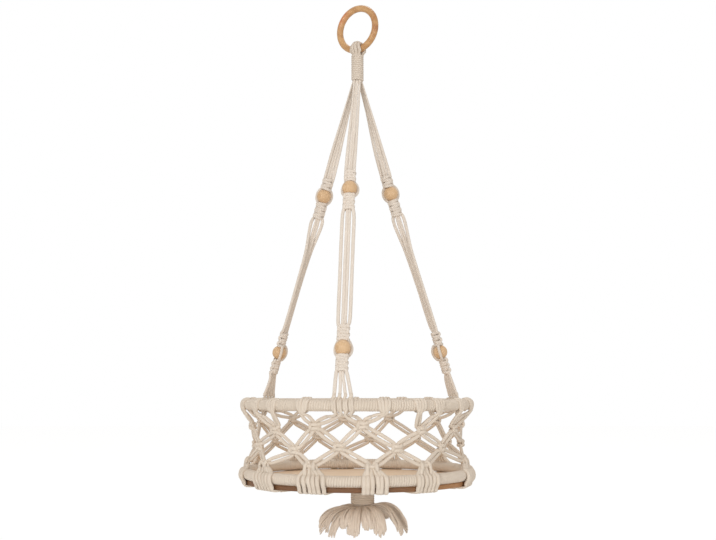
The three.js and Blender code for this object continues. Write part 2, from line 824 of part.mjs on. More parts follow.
// One group's two pairs: each zigzags through a knot of the first row, a knot of the second row
// and a cluster on the bottom hoop. The group's own cords tie the second knot.
function netPair(group, hand) {
  const isArm = arm_groups.includes(group);
  const top = topAzimuth(group) + (isArm ? 0 : hand * net_pair_turn);
  const slide = isArm ? (hand * arm_pair_spacing) / 2 : 0;
  const beside = hand > 0 ? group : group - 1;
  const clear = net_knot_half_width / 2 + seat_gap;
  const own = net_knot_half_width / 2 - seat_gap;
  const first = knotStations(firstRowAzimuth(beside), -hand, first_row_radius,
    top_hoop_z - first_row_drops[slot(beside)], clear);
  const second = knotStations(secondRowAzimuth(group), hand, second_row_radius,
    top_hoop_z - second_row_drops[group], own);
  const cluster = clusterStations(clusterAzimuth(beside), -hand);
  const hitch = hitchStations(top, slide);
  const stations = [
    ...hitch,
    between(hitch[hitch.length - 1], first[0]), ...first,
    between(first[2], second[0]), ...second,
    between(second[2], cluster[0]), ...cluster,
  ];
  return pairLoft(stations);
}

function netGroup(group) {
  const geometry = joined([netPair(group, -1), netPair(group, 1)]);
  return piece(`net_cords_${number(group)}`, geometry, cotton);
}

// Cords under the board, from each cluster to the middle

function spoke(azimuth) {
  const hub = onCylinder(0, 0, spoke_z).setX(tassel_shift);
  const edge = onCylinder(azimuth, spoke_outer_radius, spoke_z);
  const way = new THREE.Vector3().subVectors(hub, edge).normalize();
  const across = new THREE.Vector3(way.y, -way.x, 0);
  const thin = cluster_cord_thickness / 2;
  const nearHub = hub.clone().addScaledVector(way, (-spoke_hub_diameter / 2) * spoke_reach_share);
  return loft([
    sectionRing(edge, way, across, slabSection(spoke_width / 2, thin)),
    sectionRing(nearHub, way, across, slabSection(spoke_inner_width / 2, thin)),
  ]);
}

function underBoardCords() {
  const radius = spoke_hub_diameter / 2;
  const hub = new THREE.CylinderGeometry(radius, radius, cluster_cord_thickness, tassel_core_steps);
  hub.rotateX(Math.PI / 2);
  hub.translate(tassel_shift, 0, spoke_z);
  const spokes = [hub];
  for (let group = 0; group < group_count; group += 1) spokes.push(spoke(clusterAzimuth(group)));
  return piece('under_board_cords', joined(spokes), shaded_cotton);
}

// Tassel, in a group that hangs from its pivot

function tasselCore() {
  const wide = tassel_neck_diameter / 2 - wrap_cord_diameter - seat_gap;
  const bottom = -(tassel_gather_length + tassel_neck_length);
  const profile = [
    [0, bottom], [wide, bottom], [wide, -tassel_gather_length],
    [tassel_gather_diameter / 2, -tassel_gather_drop],
    [tassel_tip_diameter / 2, -seat_gap], [0, -seat_gap],
  ];
  return piece('tassel_gathered_cords', turned(profile, tassel_core_steps), shaded_cotton);
}

// A lock of frayed cord: out from under the neck, over and down.
function lock(index) {
  const azimuth = (360 * index) / lock_count;
  const start = tassel_neck_diameter / 2 - wrap_cord_diameter - lock_thickness * lock_start_share;
  const top = -(tassel_gather_length + tassel_neck_length + seat_gap + lock_thickness * lock_top_share);
  const reach = lock_reach * lock_reach_shares[index] - start;
  const points = lock_shares.map((share, row) => {
    const fall = lock_drops[index] * lock_fall_shares[row];
    return onCylinder(azimuth, start + reach * sine(share * lock_bow_turn), top - fall);
  });
  const radii = lock_thickness_shares.map((share) => (lock_thickness / 2) * share);
  return tube(points, radii, lock_sides, sideways(azimuth));
}

function tasselLocks() {
  const wide = tassel_neck_diameter / 2 - wrap_cord_diameter;
  const depth = lock_thickness * lock_hub_share;
  const hub = new THREE.CylinderGeometry(wide, wide, depth, tassel_core_steps);
  hub.rotateX(Math.PI / 2);
  hub.translate(0, 0, -(tassel_gather_length + tassel_neck_length + seat_gap + depth / 2));
  const locks = [hub];
  for (let index = 0; index < lock_count; index += 1) locks.push(lock(index));
  return piece('tassel_locks', joined(locks), shaded_cotton);
}

function tassel() {
  const group = new THREE.Group();
  group.position.set(tassel_shift, 0, tassel_pivot_z);
  const inner = tassel_neck_diameter / 2 - wrap_cord_diameter - seat_gap;
  const wound = winding(inner, -tassel_gather_length, tassel_neck_length, tassel_loops);
  console.log(`tassel winding least gap ${leastSelfGap(wound.points).toFixed(2)} mm`);
  group.add(tasselCore(), piece('tassel_wrap', wound.geometry, shaded_cotton), tasselLocks());
  return group;
}

// Assembly

const shelf = new THREE.Group();
const ringGroup = new THREE.Group();
ringGroup.rotation.z = THREE.MathUtils.degToRad(ring_turn);
ringGroup.add(hangingRing(), ringLoop());
shelf.add(ringGroup, ...neck());
arm_azimuths.forEach((azimuth, index) => shelf.add(arm(index)));
shelf.add(hoopCore('top_hoop_core', top_hoop_z), hoopWrap('top_hoop_wrap', top_hoop_z));
shelf.add(hoopCore('bottom_hoop_core', bottom_hoop_z), hoopWrap('bottom_hoop_wrap', bottom_hoop_z));
for (let group = 0; group < group_count; group += 1) shelf.add(netGroup(group));
shelf.add(board(), underBoardCords(), tassel());

export default shelf;
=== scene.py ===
"""The looks of a hanging rope shelf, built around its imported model. Metres, +Z up, the front is -Y."""
import json
import math
import random

import bpy
from mathutils import Matrix, Vector, noise


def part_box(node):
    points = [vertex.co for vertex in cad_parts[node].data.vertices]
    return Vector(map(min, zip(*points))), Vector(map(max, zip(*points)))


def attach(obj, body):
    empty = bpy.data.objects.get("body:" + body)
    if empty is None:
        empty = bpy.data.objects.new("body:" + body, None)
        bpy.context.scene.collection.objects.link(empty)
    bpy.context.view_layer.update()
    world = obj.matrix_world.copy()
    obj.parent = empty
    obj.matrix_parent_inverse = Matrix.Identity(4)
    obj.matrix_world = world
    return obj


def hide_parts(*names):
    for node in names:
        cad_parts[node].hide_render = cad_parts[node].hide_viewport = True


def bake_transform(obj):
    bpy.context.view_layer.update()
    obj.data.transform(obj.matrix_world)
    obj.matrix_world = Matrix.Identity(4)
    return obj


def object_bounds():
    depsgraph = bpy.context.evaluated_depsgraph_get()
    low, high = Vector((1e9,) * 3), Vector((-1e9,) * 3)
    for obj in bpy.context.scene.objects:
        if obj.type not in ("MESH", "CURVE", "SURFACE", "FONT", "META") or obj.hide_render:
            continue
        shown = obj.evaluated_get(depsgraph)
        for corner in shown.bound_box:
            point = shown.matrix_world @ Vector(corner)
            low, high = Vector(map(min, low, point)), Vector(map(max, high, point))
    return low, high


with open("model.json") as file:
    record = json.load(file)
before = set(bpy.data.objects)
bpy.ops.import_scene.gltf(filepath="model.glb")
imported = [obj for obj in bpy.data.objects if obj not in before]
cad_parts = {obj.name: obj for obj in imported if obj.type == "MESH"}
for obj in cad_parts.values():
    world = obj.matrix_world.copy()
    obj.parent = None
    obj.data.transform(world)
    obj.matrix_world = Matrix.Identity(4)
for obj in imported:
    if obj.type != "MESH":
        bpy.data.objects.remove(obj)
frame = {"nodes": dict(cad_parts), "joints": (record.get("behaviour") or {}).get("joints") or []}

cad_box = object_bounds()
rng = random.Random(7)

# Cords: radii, or half widths where a cord lies flattened
CORD = 0.002
SOFT_CORD = 0.00235      # in knots and in the net
TIGHT_CORD = 0.00178     # drawn tight, where an arm is tied to the top hoop
CLUSTER_CORD = 0.0028    # spread over the bottom hoop
SPOKE_CORD = CORD * 0.85 # run in under the board
SPOKE_TIP = 0.00115      # and squeezed together there
TASSEL_CORD = CORD * 0.92
NECK_CORD = 0.00135      # gathered in the neck
LOOP_CORD = 0.0023       # folded over the ring
WRAP_CORD = 0.00155      # bound round the neck and the tassel
HOOP_CORD_WIDTH = 0.00192
HOOP_CORD = 0.0015       # half the thickness of the cord wound round the hoops
ARM_FLAT = 0.84          # thickness as a share of width: the cords of an arm
SOFT_FLAT = 0.78         # and those of the net
PAIR_GAP = 0.0026        # half the spacing of the two cords of a pair
WANDER_LENGTH = 0.011    # over which a cord grows a little thicker or thinner
TIP_HEIGHT = 0.35        # of the closed end of a cord, in radii

# Ring, and the cords folded over it
RING_RADIUS = 0.03025    # to the middle of the wood
RING_SECTION = 0.00475   # radius of the wood
RING_FLATTENING = 0.95
RING_TURN = -34          # about the vertical
LOOP_GAP = 0.0003        # between the wood and the first cords
LOOP_PRESS = 0.0004      # by which neighbours lie closer than their width
LOOP_LAYERS = ((0.2, (-1.7, -0.7, 0.3, 1.3)), (0.17, (-0.7, 0.3)))    # how far past the wood's sides, and where

# Neck
NECK_CORE_RADIUS = 0.0056
NECK_RINGS = ((3, 0.0015), (9, 0.0040))    # how many cords, and how far from the middle
WINDING_SQUEEZE = 0.96   # distance between two turns as a share of the cord's width
WINDING_STEPS = 28

# Arms: azimuths and turns in degrees, lengths down the arm
ARM_NAMES = ["front_arm", "right_arm", "left_arm"]
ARM_AZIMUTHS = [-6.8, 114.3, -121.4]  # the way that each slants out
ARM_TWISTS = [0, 65.7, -58.6]         # of the band of cords, from the first knots to the second
ARM_LOW_TWISTS = [0, 0, 15]           # and below those, down to the last knots
UPPER_BEAD_SIDES = [1, -1, -1]        # where the working cords pass the upper bead: 1 behind, -1 in front
ARM_TOP_RADIUS = 0.0049  # from the middle of the neck
ARM_TOP_GAP = 0.0009     # from the neck down
ARM_TUCK = 0.004         # of the cords up into the neck
FOOT_TUCK = 0.002        # and down into the hitches
ARM_FOOT_RISE = 0.0125   # from the middle of the top hoop
UNTWIST_LENGTH = 0.065   # in which the band turns back, below the second knots
KNOT_LENGTHS = [0.0172, 0.024, 0.0208, 0.0218]    # of the four rows, from the top down
KNOT_HALVES = [4, 6, 5, 6]                        # half knots in each
KNOT_HALF_WIDTH = 0.0058
KNOT_DEPTH = 0.0035
FILLER_SPACING = 0.00335 # of the two straight cords
FREE_SPACING = 0.0155    # of the two working cords between the rows of knots
FOOT_SPACING = 0.0072    # of all four at the top hoop
BEAD_RADIUS = 0.01
BEAD_BORE = 0.0045       # radius of the bore
BEAD_CUT = math.sqrt(BEAD_RADIUS ** 2 - BEAD_BORE ** 2)    # from its middle to the flat ends of its bore
BEAD_LAG = 33            # of a working cord, from the bead's side towards its back or front
BEAD_REACH = 57          # how far up and down round the bead it keeps to it

# Hoops and board
HOOP_RADIUS = 0.15
HOOP_WRAP = 0.0072       # radius over the winding
HOOP_TURNS = 292
HOOP_TURN_STEPS = 14
HOOP_TURN_DRIFT = 0.16   # degrees that a turn lies off its place along the hoop
HOOP_TURN_SWELL = 0.035  # share by which it stands out or lies lower
HITCH = 0.0075           # from the middle of a hoop to the middle of a soft cord pulled over it
RIM_GAP = 0.0021         # from the rim of the board to the middle of a cord laid over it
UNDER_GAP = 0.0012       # and from its underside
NEAR_HOOP = 0.0135       # a cord nearer than this to a hoop lies on it
NEAR_RIM = 0.030         # and one below the bottom hoop, on the board

# Net, group by group from the front round to the right. The wanders are degrees off an even spacing,
# the drops go down from the top hoop, and the leans are metres aside at the rim of the board.
GROUPS = 12
ARM_GROUPS = [0, 4, 8]
FIRST_AZIMUTH = -6.8
GROUP_WANDERS = [0, -2, -3, -1, 1.1, 1.5, 0, -2, 5.4, 3, 1, 2]
FIRST_ROW_WANDERS = [-5.7, -4.6, -7.9, -3, -1, 2.4, 0.3, 3.2, 4, 3, 5.5, 0.4]
SECOND_ROW_WANDERS = [-2.2, -3.2, -3.9, -2, 2, -0.6, -0.8, 2, 4, 2, 1.5, 2.9]
CLUSTER_WANDERS = [-1.3, -3.8, 5, 1, -2, 2, 1, -2, 2, 3, -1.3, -1.1]
FIRST_ROW_DROPS = [.0235, .0305, .0305, .0275, .0245, .0225, .0235, .0240, .0235, .0285, .0315, .0255]
SECOND_ROW_DROPS = [.0505, .0525, .0535, .0515, .0535, .0510, .0525, .0495, .0530, .0545, .0535, .0555]
CLUSTER_LEANS = [.0034, -.002, -.011, .002, -.003, .001, -.002, .003, -.001, .007, .012, .006]
CLUSTER_FANS = [1, 1.05, 1.25, 1, 1.1, 0.95, 1.05, 1, 1.1, 0.95, 1.3, 1.14]
CLUSTER_OVER = (0.0030, 0.0086, 0.0140)    # the three strands on each side of a cluster, over the hoop
CLUSTER_UNDER = (0.0028, 0.0083, 0.0138)   # and under the board
FIRST_ROW_RADIUS = 0.1425
SECOND_ROW_RADIUS = 0.140
NET_PAIR_TURN = 9        # degrees from the middle of a group to each of its pairs
NET_KNOT_PITCH = 0.0046
NET_KNOT_HALF_WIDTH = 0.0056
NET_KNOT_DEPTH = 0.0034
NET_FILLER = 0.0021      # half the spacing of the straight cords in a knot
GATHER_HEIGHT = 0.0185   # of the place where a cluster is tied, over the bottom hoop
GATHER_RADIUS = 0.1462

# Cords under the board
SPOKE_LANES = (-0.0112, -0.004, 0.004, 0.0112)    # across a cluster
SPOKE_TURN = 7           # degrees between them at the middle
SPOKE_BEND_RADIUS = 0.019
SPOKE_END_RADIUS = 0.009

# Tassel, lock by lock
TASSEL_SHIFT = 0.007     # of its middle to the right
TASSEL_NECK_RADIUS = 0.016
TASSEL_CORDS = 20
LOCK_STRANDS = 46
LOCK_REACH = 0.061       # from the middle to the tip
LOCK_AZIMUTHS = [-15, 10, 31, 62, 88, 118, 150, 182, 214, 246, 278, 303, 327]
LOCK_DROPS = [.0300, .0220, .0300, .0240, .0200, .0190, .0180, .0180, .0190, .0190, .0170, .0265, .0200]
LOCK_RISES = [0, 0, .002, .007, .0085, .004, 0, 0, 0, 0, .002, 0, 0]    # of the bow before it drops
LOCK_REACH_SHARES = [0.8, 0.8, 0.78, 0.93, 1, 0.95, 0.9, 0.95, 0.9, 0.95, 0.97, 0.88, 0.78]
LOCK_WIDTHS = [0.7, 0.7, 0.85, 1.2, 1.1, 1.1, 1.1, 1.1, 1.1, 1.1, 1.1, 1.3, 1]
LOCK_TWISTS = [0, 0, 0, 22, 42, 20, 0, 0, 0, 20, 42, 18, 0]             # about its own length

# Camera, as worked out from the beads, the ring and the hoops in the photograph
CAMERA_PLACE = (0.0008, -1.373, -0.5384)
CAMERA_PITCH = 6.88
CAMERA_LENS = 50

# Setting
FLOOR_DROP = 0.07        # from the lowest point of the shelf
FLOOR_GLOW = 1.07        # strength of the white that is seen on the floor
FLOOR_GLOW_SHARE = 0.86  # the rest is the lit floor, with the shadow
WORLD_TINT = (1, 0.955, 0.9, 1)
WORLD_STRENGTH = 0.57
LAMP_TINT = (0.97, 0.985, 1)
LAMP_SIZE = 2.2
LAMP_AIM = Vector((0, 0, -0.45))
LAMPS = (("key_lamp", 56, (-1.9, -3.6, 0.1)), ("fill_lamp", 46, (2.2, -3.3, -0.6)),
         ("top_lamp", 36, (0.4, 1.2, 3.4)))


# Places read from the frame

def middle(node):
    low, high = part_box(node)
    return (low + high) / 2


TOP_HOOP_Z = middle("top_hoop_core").z
BOTTOM_HOOP_Z = middle("bottom_hoop_core").z
RING_CENTRE_Z = middle("hanging_ring").z
RING_BOTTOM_Z = RING_CENTRE_Z - RING_RADIUS
NECK_BOTTOM_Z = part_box("neck_cords")[0].z
NECK_TOP_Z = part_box("neck_cords")[1].z
BOARD_LOW, BOARD_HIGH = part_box("shelf_board")
BOARD_RADIUS = BOARD_HIGH.y
PIVOT_Z = [j for j in frame["joints"] if j["name"] == "tassel_swing"][0]["pos_m"][2]
TASSEL_TOP_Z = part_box("tassel_wrap")[1].z
TASSEL_NECK_BOTTOM_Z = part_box("tassel_gathered_cords")[0].z


def outward(azimuth):
    """The level direction away from the middle. Azimuth 0 faces -Y and grows towards +X."""
    a = math.radians(azimuth)
    return Vector((math.sin(a), -math.cos(a), 0))


def sideways(azimuth):
    """The level direction across that, to the right as seen from outside."""
    a = math.radians(azimuth)
    return Vector((math.cos(a), math.sin(a), 0))


def up(height):
    return Vector((0, 0, height))


def level_out(point):
    """The level direction from the middle towards a point."""
    return Vector((point.x, point.y, 0)).normalized()


def off_rod(point, hoop_z):
    """The way from the nearest place on a hoop's rod to a point."""
    return point - level_out(point) * HOOP_RADIUS - up(hoop_z)


def place(azimuth, radius, z, across=0, out=0):
    """A point on the basket: a distance from the middle, a height, and an offset along and out of the net."""
    return outward(azimuth) * (radius + out) + sideways(azimuth) * across + up(z)


def smooth(share):
    """Rises softly from 0 to 1."""
    share = min(1, max(0, share))
    return share * share * (3 - 2 * share)


def cosine(degrees):
    return math.cos(math.radians(degrees))


def sine(degrees):
    return math.sin(math.radians(degrees))


# Lines and sweeps

def through(points, step):
    """A smooth line through points, with its own points about a step apart.
    It is first drawn twice as dense, as a curve that passes each point in the direction of its neighbours."""
    dense = []
    ends = [points[0] * 2 - points[1], *points, points[-1] * 2 - points[-2]]
    for before, start, end, after in zip(ends, ends[1:], ends[2:], ends[3:]):
        count = max(2, math.ceil((end - start).length / step) * 2)
        for i in range(count):
            t = i / count
            bend = before * 2 - start * 5 + end * 4 - after
            swing = start * 3 - before - end * 3 + after
            dense.append((start * 2 + (end - before) * t + bend * t ** 2 + swing * t ** 3) / 2)
    dense.append(points[-1].copy())
    line, travelled = [dense[0]], 0
    for a, b in zip(dense, dense[1:]):
        travelled += (b - a).length
        if travelled >= step:
            line.append(b)
            travelled = 0
    if (line[-1] - dense[-1]).length > step / 2:
        line.append(dense[-1])
    else:
        line[-1] = dense[-1]
    return line


class Cordwork:
    """Cords gathered in one mesh. Each is swept along its line, with its length kept in its UV map."""

    def __init__(self):
        self.points, self.faces, self.uvs, self.shades = [], [], [], []

    def sweep(self, line, radius, sides=10, flat=1.0, facing=None, soft=0.05):
        """Radius and flat are numbers or lists along the line. Flat below 1 thins the cord along its facing,
        and soft is how much its thickness wanders."""
        start = len(self.points)
        count = len(line)
        radii = radius if isinstance(radius, list) else [radius] * count
        flats = flat if isinstance(flat, list) else [flat] * count
        shade = rng.random()
        phase = rng.uniform(0, 100)
        ways = [(line[min(i + 1, count - 1)] - line[max(i - 1, 0)]).normalized() for i in range(count)]
        side = ways[0].orthogonal().normalized()
        length = 0
        lengths = []
        for i, (point, way) in enumerate(zip(line, ways)):
            length += (point - line[i - 1]).length if i else 0
            lengths.append(length)
            if facing is not None:
                side = facing(point).cross(way)
            side = (side - way * side.dot(way)).normalized()
            thick = way.cross(side)
            wander = 1 + soft * noise.noise(Vector((length / WANDER_LENGTH, phase, 0)))
            for k in range(sides):
                angle = 2 * math.pi * k / sides
                spoke = side * math.cos(angle) + thick * (math.sin(angle) * flats[i])
                self.points.append(point + spoke * (radii[i] * wander))
        girth = 2 * math.pi * radii[count // 2]
        for i in range(count - 1):
            for k in range(sides):
                a, b = start + i * sides + k, start + i * sides + (k + 1) % sides
                self.faces.append((a, b, b + sides, a + sides))
                u, u_next = k / sides, k / sides + 1 / sides
                v, v_next = lengths[i] / girth, lengths[i + 1] / girth
                self.uvs += [(u, v), (u_next, v), (u_next, v_next), (u, v_next)]
                self.shades.append(shade)
        for first, turn, at in ((start, -1, 0), (start + (count - 1) * sides, 1, count - 1)):
            ring = [first + k for k in range(sides)]
            self.points.append(line[at] + ways[at] * (turn * radii[at] * TIP_HEIGHT))
            tip = len(self.points) - 1
            for k in range(sides):
                a, b = ring[k], ring[(k + 1) % sides]
                self.faces.append((a, b, tip) if turn > 0 else (b, a, tip))
                self.uvs += [(k / sides, lengths[at] / girth)] * 3
                self.shades.append(shade)

    def cord(self, points, radius, step, **shape):
        self.sweep(through(points, step), radius, **shape)

    def piece(self, name, material):
        """One smooth object of all the cords, its UV map "cord" and its shades for the cotton finishes."""
        mesh = bpy.data.meshes.new(name)
        mesh.from_pydata(self.points, [], self.faces)
        layer = mesh.uv_layers.new(name="cord")
        layer.data.foreach_set("uv", [value for uv in self.uvs for value in uv])
        shade = mesh.attributes.new("shade", "FLOAT", "FACE")
        shade.data.foreach_set("value", self.shades)
        mesh.materials.append(material)
        mesh.polygons.foreach_set("use_smooth", [True] * len(mesh.polygons))
        obj = bpy.data.objects.new(name, mesh)
        bpy.context.scene.collection.objects.link(obj)
        return obj


# Shader tools

class Socket:
    """A shader socket that takes part in Python sums."""

    def __init__(self, shader, socket):
        self.shader, self.socket = shader, socket

    def __add__(self, other):
        return self.shader.sum("ADD", self, other)

    def __sub__(self, other):
        return self.shader.sum("SUBTRACT", self, other)

    def __mul__(self, other):
        return self.shader.sum("MULTIPLY", self, other)

    def __rsub__(self, other):
        return self.shader.sum("SUBTRACT", other, self)

    __radd__ = __add__


class Shader:
    """One material, its nodes added by one method."""

    def __init__(self, name):
        self.material = bpy.data.materials.new(name)
        self.material.use_nodes = True
        self.tree = self.material.node_tree
        self.principled = self.tree.nodes["Principled BSDF"]

    def node(self, kind, settings=None, **inputs):
        node = self.tree.nodes.new("ShaderNode" + kind)
        for key, value in (settings or {}).items():
            setattr(node, key, value)
        for key, value in inputs.items():
            self.feed(node, key.replace("_", " "), value)
        return node

    def feed(self, node, key, value):
        """Set or link one input, by its name or by i and its number."""
        target = node.inputs[int(key[1:])] if key[0] == "i" and key[1:].isdigit() else node.inputs[key]
        if isinstance(value, Socket):
            self.tree.links.new(value.socket, target)
        else:
            target.default_value = value

    def out(self, node, key=0):
        return Socket(self, node.outputs[key])

    def sum(self, operation, *values):
        inputs = {f"i{i}": value for i, value in enumerate(values)}
        return self.out(self.node("Math", {"operation": operation}, **inputs))

    def wave(self, value, kind="SINE"):
        """A sine or cosine of a value, brought to 0 to 1."""
        return self.sum(kind, value) * 0.5 + 0.5

    def clamp(self, value):
        return self.out(self.node("Clamp", Value=value))

    def band(self, value, low, high):
        """0 below low, 1 above high and smooth between."""
        node = self.node("MapRange", {"interpolation_type": "SMOOTHSTEP"}, Value=value)
        node.inputs["From Min"].default_value = low
        node.inputs["From Max"].default_value = high
        return self.out(node)

    def mix(self, share, a, b):
        """From colour a to colour b."""
        node = self.node("Mix", {"data_type": "RGBA"})
        self.feed(node, "i0", share)
        for index, colour in ((6, a), (7, b)):
            value = colour if isinstance(colour, Socket) else (*colour, 1)
            self.feed(node, f"i{index}", value)
        return self.out(node, 2)

    def split(self, vector):
        node = self.node("SeparateXYZ", Vector=vector)
        return [self.out(node, i) for i in range(3)]

    def join(self, x, y, z):
        return self.out(self.node("CombineXYZ", X=x, Y=y, Z=z))

    def place(self):
        return self.out(self.node("TexCoord"), "Object")

    def noise(self, vector, scale, detail=3.0, roughness=0.55):
        return self.out(self.node("TexNoise", Vector=vector, Scale=scale, Detail=detail, Roughness=roughness))

    def finish(self, colour, roughness, bump=None, distance=0.0, strength=0.0, sheen=0.0, coat=0.0):
        """The finished material. Distance is how high the bump stands."""
        self.feed(self.principled, "Base Color", colour if isinstance(colour, Socket) else (*colour, 1))
        self.feed(self.principled, "Roughness", roughness)
        self.principled.inputs["Sheen Weight"].default_value = sheen
        self.principled.inputs["Coat Weight"].default_value = coat
        if bump is not None:
            node = self.node("Bump", Height=bump, Distance=distance, Strength=strength)
            self.feed(self.principled, "Normal", self.out(node))
        return self.material


def colour(red, green, blue):
    """A colour as it is seen, 0 to 255, in the linear values that a shader takes."""
    return tuple((c / 12.92 if c <= 0.04045 else ((c + 0.055) / 1.055) ** 2.4)
                 for c in (red / 255, green / 255, blue / 255))


# Finishes

def cotton(name, light, dark, yarns=9, lay=5, depth=0.00026):
    """Twisted cotton: slanting yarns round the cord, painted shade in the grooves between them, fine fibre, and
    slow changes of tone.
    """
    s = Shader(name)
    u, v, _ = s.split(s.out(s.node("UVMap", {"uv_map": "cord"})))
    yarn_ridges_and_groove_shade = s.wave((u * yarns + v * lay) * (2 * math.pi), "COSINE")
    fibre = s.noise(s.join(u * 14 + v * 8, v * 2.4, u * 3), 3.0, 4.0, 0.65)
    tone = s.noise(s.place(), 38.0, 2.0)
    speck = s.noise(s.place(), 900.0, 2.0)
    strand = s.out(s.node("Attribute", {"attribute_name": "shade"}), "Fac")
    # The yarn ridges are lighter and the grooves between them darker: painted shade.
    light_share = s.clamp(yarn_ridges_and_groove_shade * 0.22 + fibre * 0.45 + tone * 0.5 + strand * 0.16 - 0.12)
    base = s.mix(light_share, dark, light)
    height = yarn_ridges_and_groove_shade * 0.55 + fibre * 0.5 + speck * 0.2
    return s.finish(base, 0.92 - yarn_ridges_and_groove_shade * 0.05, height, depth, 0.55, sheen=0.12)


def bead_finish():
    """Pale sanded wood, with upright grain."""
    s = Shader("bead_wood")
    x, y, z = s.split(s.place())
    wavy = s.noise(s.join(x, y, z * 0.2), 60.0, 2.0) * 0.004
    rings = s.wave((x * 0.8 + y * 0.6 + wavy) * 3400)
    pores = s.noise(s.join(x * 900, y * 900, z * 90), 1.0, 3.0)
    tone = s.noise(s.place(), 26.0, 1.0)
    light_share = s.clamp(rings * 0.4 + pores * 0.35 + tone * 0.6 - 0.25)
    base = s.mix(light_share, colour(205, 166, 122), colour(229, 197, 158))
    return s.finish(base, 0.5 + pores * 0.12, rings * 0.4 + pores * 0.6, 0.0001, 0.35, coat=0.08)


def ring_finish():
    """Oiled wood with straight grain, redder and browner in places."""
    s = Shader("ring_wood")
    x, y, z = s.split(s.place())
    wavy = s.noise(s.place(), 34.0, 3.0) * 0.012
    along = x * cosine(RING_TURN) + y * sine(RING_TURN)
    rings = s.wave((z * 0.85 + along * 0.5 + wavy) * 620)
    pores = s.noise(s.join(along * 90, y * 420, z * 260), 1.0, 3.0)
    tone = s.noise(s.place(), 46.0, 2.0)
    red = s.band(z - along * 1.1 + tone * 0.012, 0.0125, 0.0325) * s.band(tone, 0.34, 0.6)
    brown = s.band(along + tone * 0.01, 0.026, 0.037) * s.band(s.noise(s.place(), 70.0, 1.0), 0.4, 0.62)
    light_share = s.clamp(rings * 0.28 + pores * 0.2 + tone * 0.8 - 0.14)
    base = s.mix(light_share, colour(172, 120, 70), colour(212, 170, 118))
    base = s.mix(s.clamp(red * 0.55), base, colour(196, 96, 52))
    base = s.mix(s.clamp(brown * 0.6), base, colour(158, 92, 44))
    return s.finish(base, 0.4 + pores * 0.12, rings * 0.3 + pores * 0.5, 0.00012, 0.3, coat=0.15)


def board_finish():
    """Bare plywood: long wavy grain on its faces, dark and light layers at its edge, with painted shade
    darkening the edge.
    """
    s = Shader("board_wood")
    x, y, z = s.split(s.place())
    wavy = s.noise(s.join(x * 0.3, y, z), 9.0, 3.0) * 0.11
    figure = s.wave((y * 0.5 + wavy) * 420)
    streaks = s.noise(s.join(x * 5, y * 110, z * 110), 1.0, 4.0)
    pores = s.noise(s.join(x * 30, y * 700, z * 700), 1.0, 4.0)
    light_share = s.clamp(figure * 0.2 + streaks * 0.5 + pores * 0.35 - 0.1)
    face = s.mix(light_share, colour(226, 196, 164), colour(244, 221, 194))
    layers = s.wave((z + s.noise(s.place(), 24.0, 2.0) * 0.0006) * 5200)
    grain = s.noise(s.join(x * 120, y * 120, z * 2600), 1.0, 3.0)
    patches = s.band(s.noise(s.place(), 11.0, 1.0), 0.36, 0.64)
    light_share = s.clamp(layers * 0.5 + grain * 0.5 + patches * 0.5 - 0.35)
    # The edge colours are partly the plies and partly painted shade, where the edge lies under the bottom hoop.
    edge = s.mix(light_share, colour(84, 50, 25), colour(196, 143, 94))
    reach = s.sum("SQRT", x * x + y * y)
    at_edge_plies_and_shade = s.band(reach, BOARD_RADIUS - 0.0022, BOARD_RADIUS - 0.0012)
    return s.finish(s.mix(at_edge_plies_and_shade, face, edge), 0.62, figure * 0.3 + pores * 0.5, 0.00015, 0.3)


def rod_finish():
    """Plain steel rod, mostly hidden by the winding."""
    s = Shader("hoop_rod")
    x, y, z = s.split(s.place())
    drawn = s.noise(s.join(x * 60, y * 60, z * 1800), 1.0, 3.0)
    s.principled.inputs["Metallic"].default_value = 1.0
    return s.finish(s.mix(drawn, colour(120, 116, 108), colour(160, 156, 148)), 0.45, drawn, 0.00005, 0.2)


NET_COTTON = cotton("cotton_cord", colour(233, 221, 207), colour(211, 196, 178))
# Painted shade: a darker copy of the cord cotton, for the cords over the ring and in the neck.
SHADED_NECK_COTTON = cotton("neck_cord", colour(226, 214, 200), colour(203, 188, 171), depth=0.0002)
# Painted light: a lighter copy of the cord cotton for the arms, with a lower bump.
LIT_ARM_COTTON = cotton("lit_arm_cord", colour(236, 226, 215), colour(216, 203, 189), depth=0.00018)
# Painted shade: a darker copy of the cord cotton, for the cords under the board and the tassel's neck and
# winding.
SHADED_UNDER_COTTON = cotton("shaded_under_cord", colour(232, 218, 202), colour(202, 184, 164))
# Lighter than the cord cotton: partly paler frayed fibre, partly painted light on the tassel under the board.
FRAYED_AND_LIT_COTTON = cotton("frayed_lit_cord", colour(243, 229, 214), colour(208, 190, 172), yarns=3, lay=1)
BEAD_WOOD = bead_finish()
RING_WOOD = ring_finish()
BOARD_WOOD = board_finish()
ROD_STEEL = rod_finish()


# Work on one object

def select_only(obj):
    bpy.ops.object.select_all(action="DESELECT")
    obj.select_set(True)
    bpy.context.view_layer.objects.active = obj


def pick(obj, test):
    """In edit mode, select the faces that pass a test."""
    bpy.ops.object.mode_set(mode="OBJECT")
    for polygon in obj.data.polygons:
        polygon.select = test(polygon)
    bpy.ops.object.mode_set(mode="EDIT")


def round_edges(obj, width, segments, angle):
    """Round the edges where faces meet at more than an angle."""
    select_only(obj)
    rounding = obj.modifiers.new("rounded_edges", "BEVEL")
    rounding.width = width
    rounding.segments = segments
    rounding.limit_method = "ANGLE"
    rounding.angle_limit = math.radians(angle)
    bpy.ops.object.modifier_apply(modifier=rounding.name)


def settle(obj, name, material, angle):
    """Apply the place of a finished piece and give it its name and material. Edges that turn by more
    than the angle stay sharp."""
    select_only(obj)
    bpy.ops.object.transform_apply(location=True, rotation=True, scale=True)
    bpy.ops.object.shade_smooth_by_angle(angle=math.radians(angle))
    obj.name = name
    obj.data.materials.clear()
    obj.data.materials.append(material)
    return obj


# Ring and the cords over it

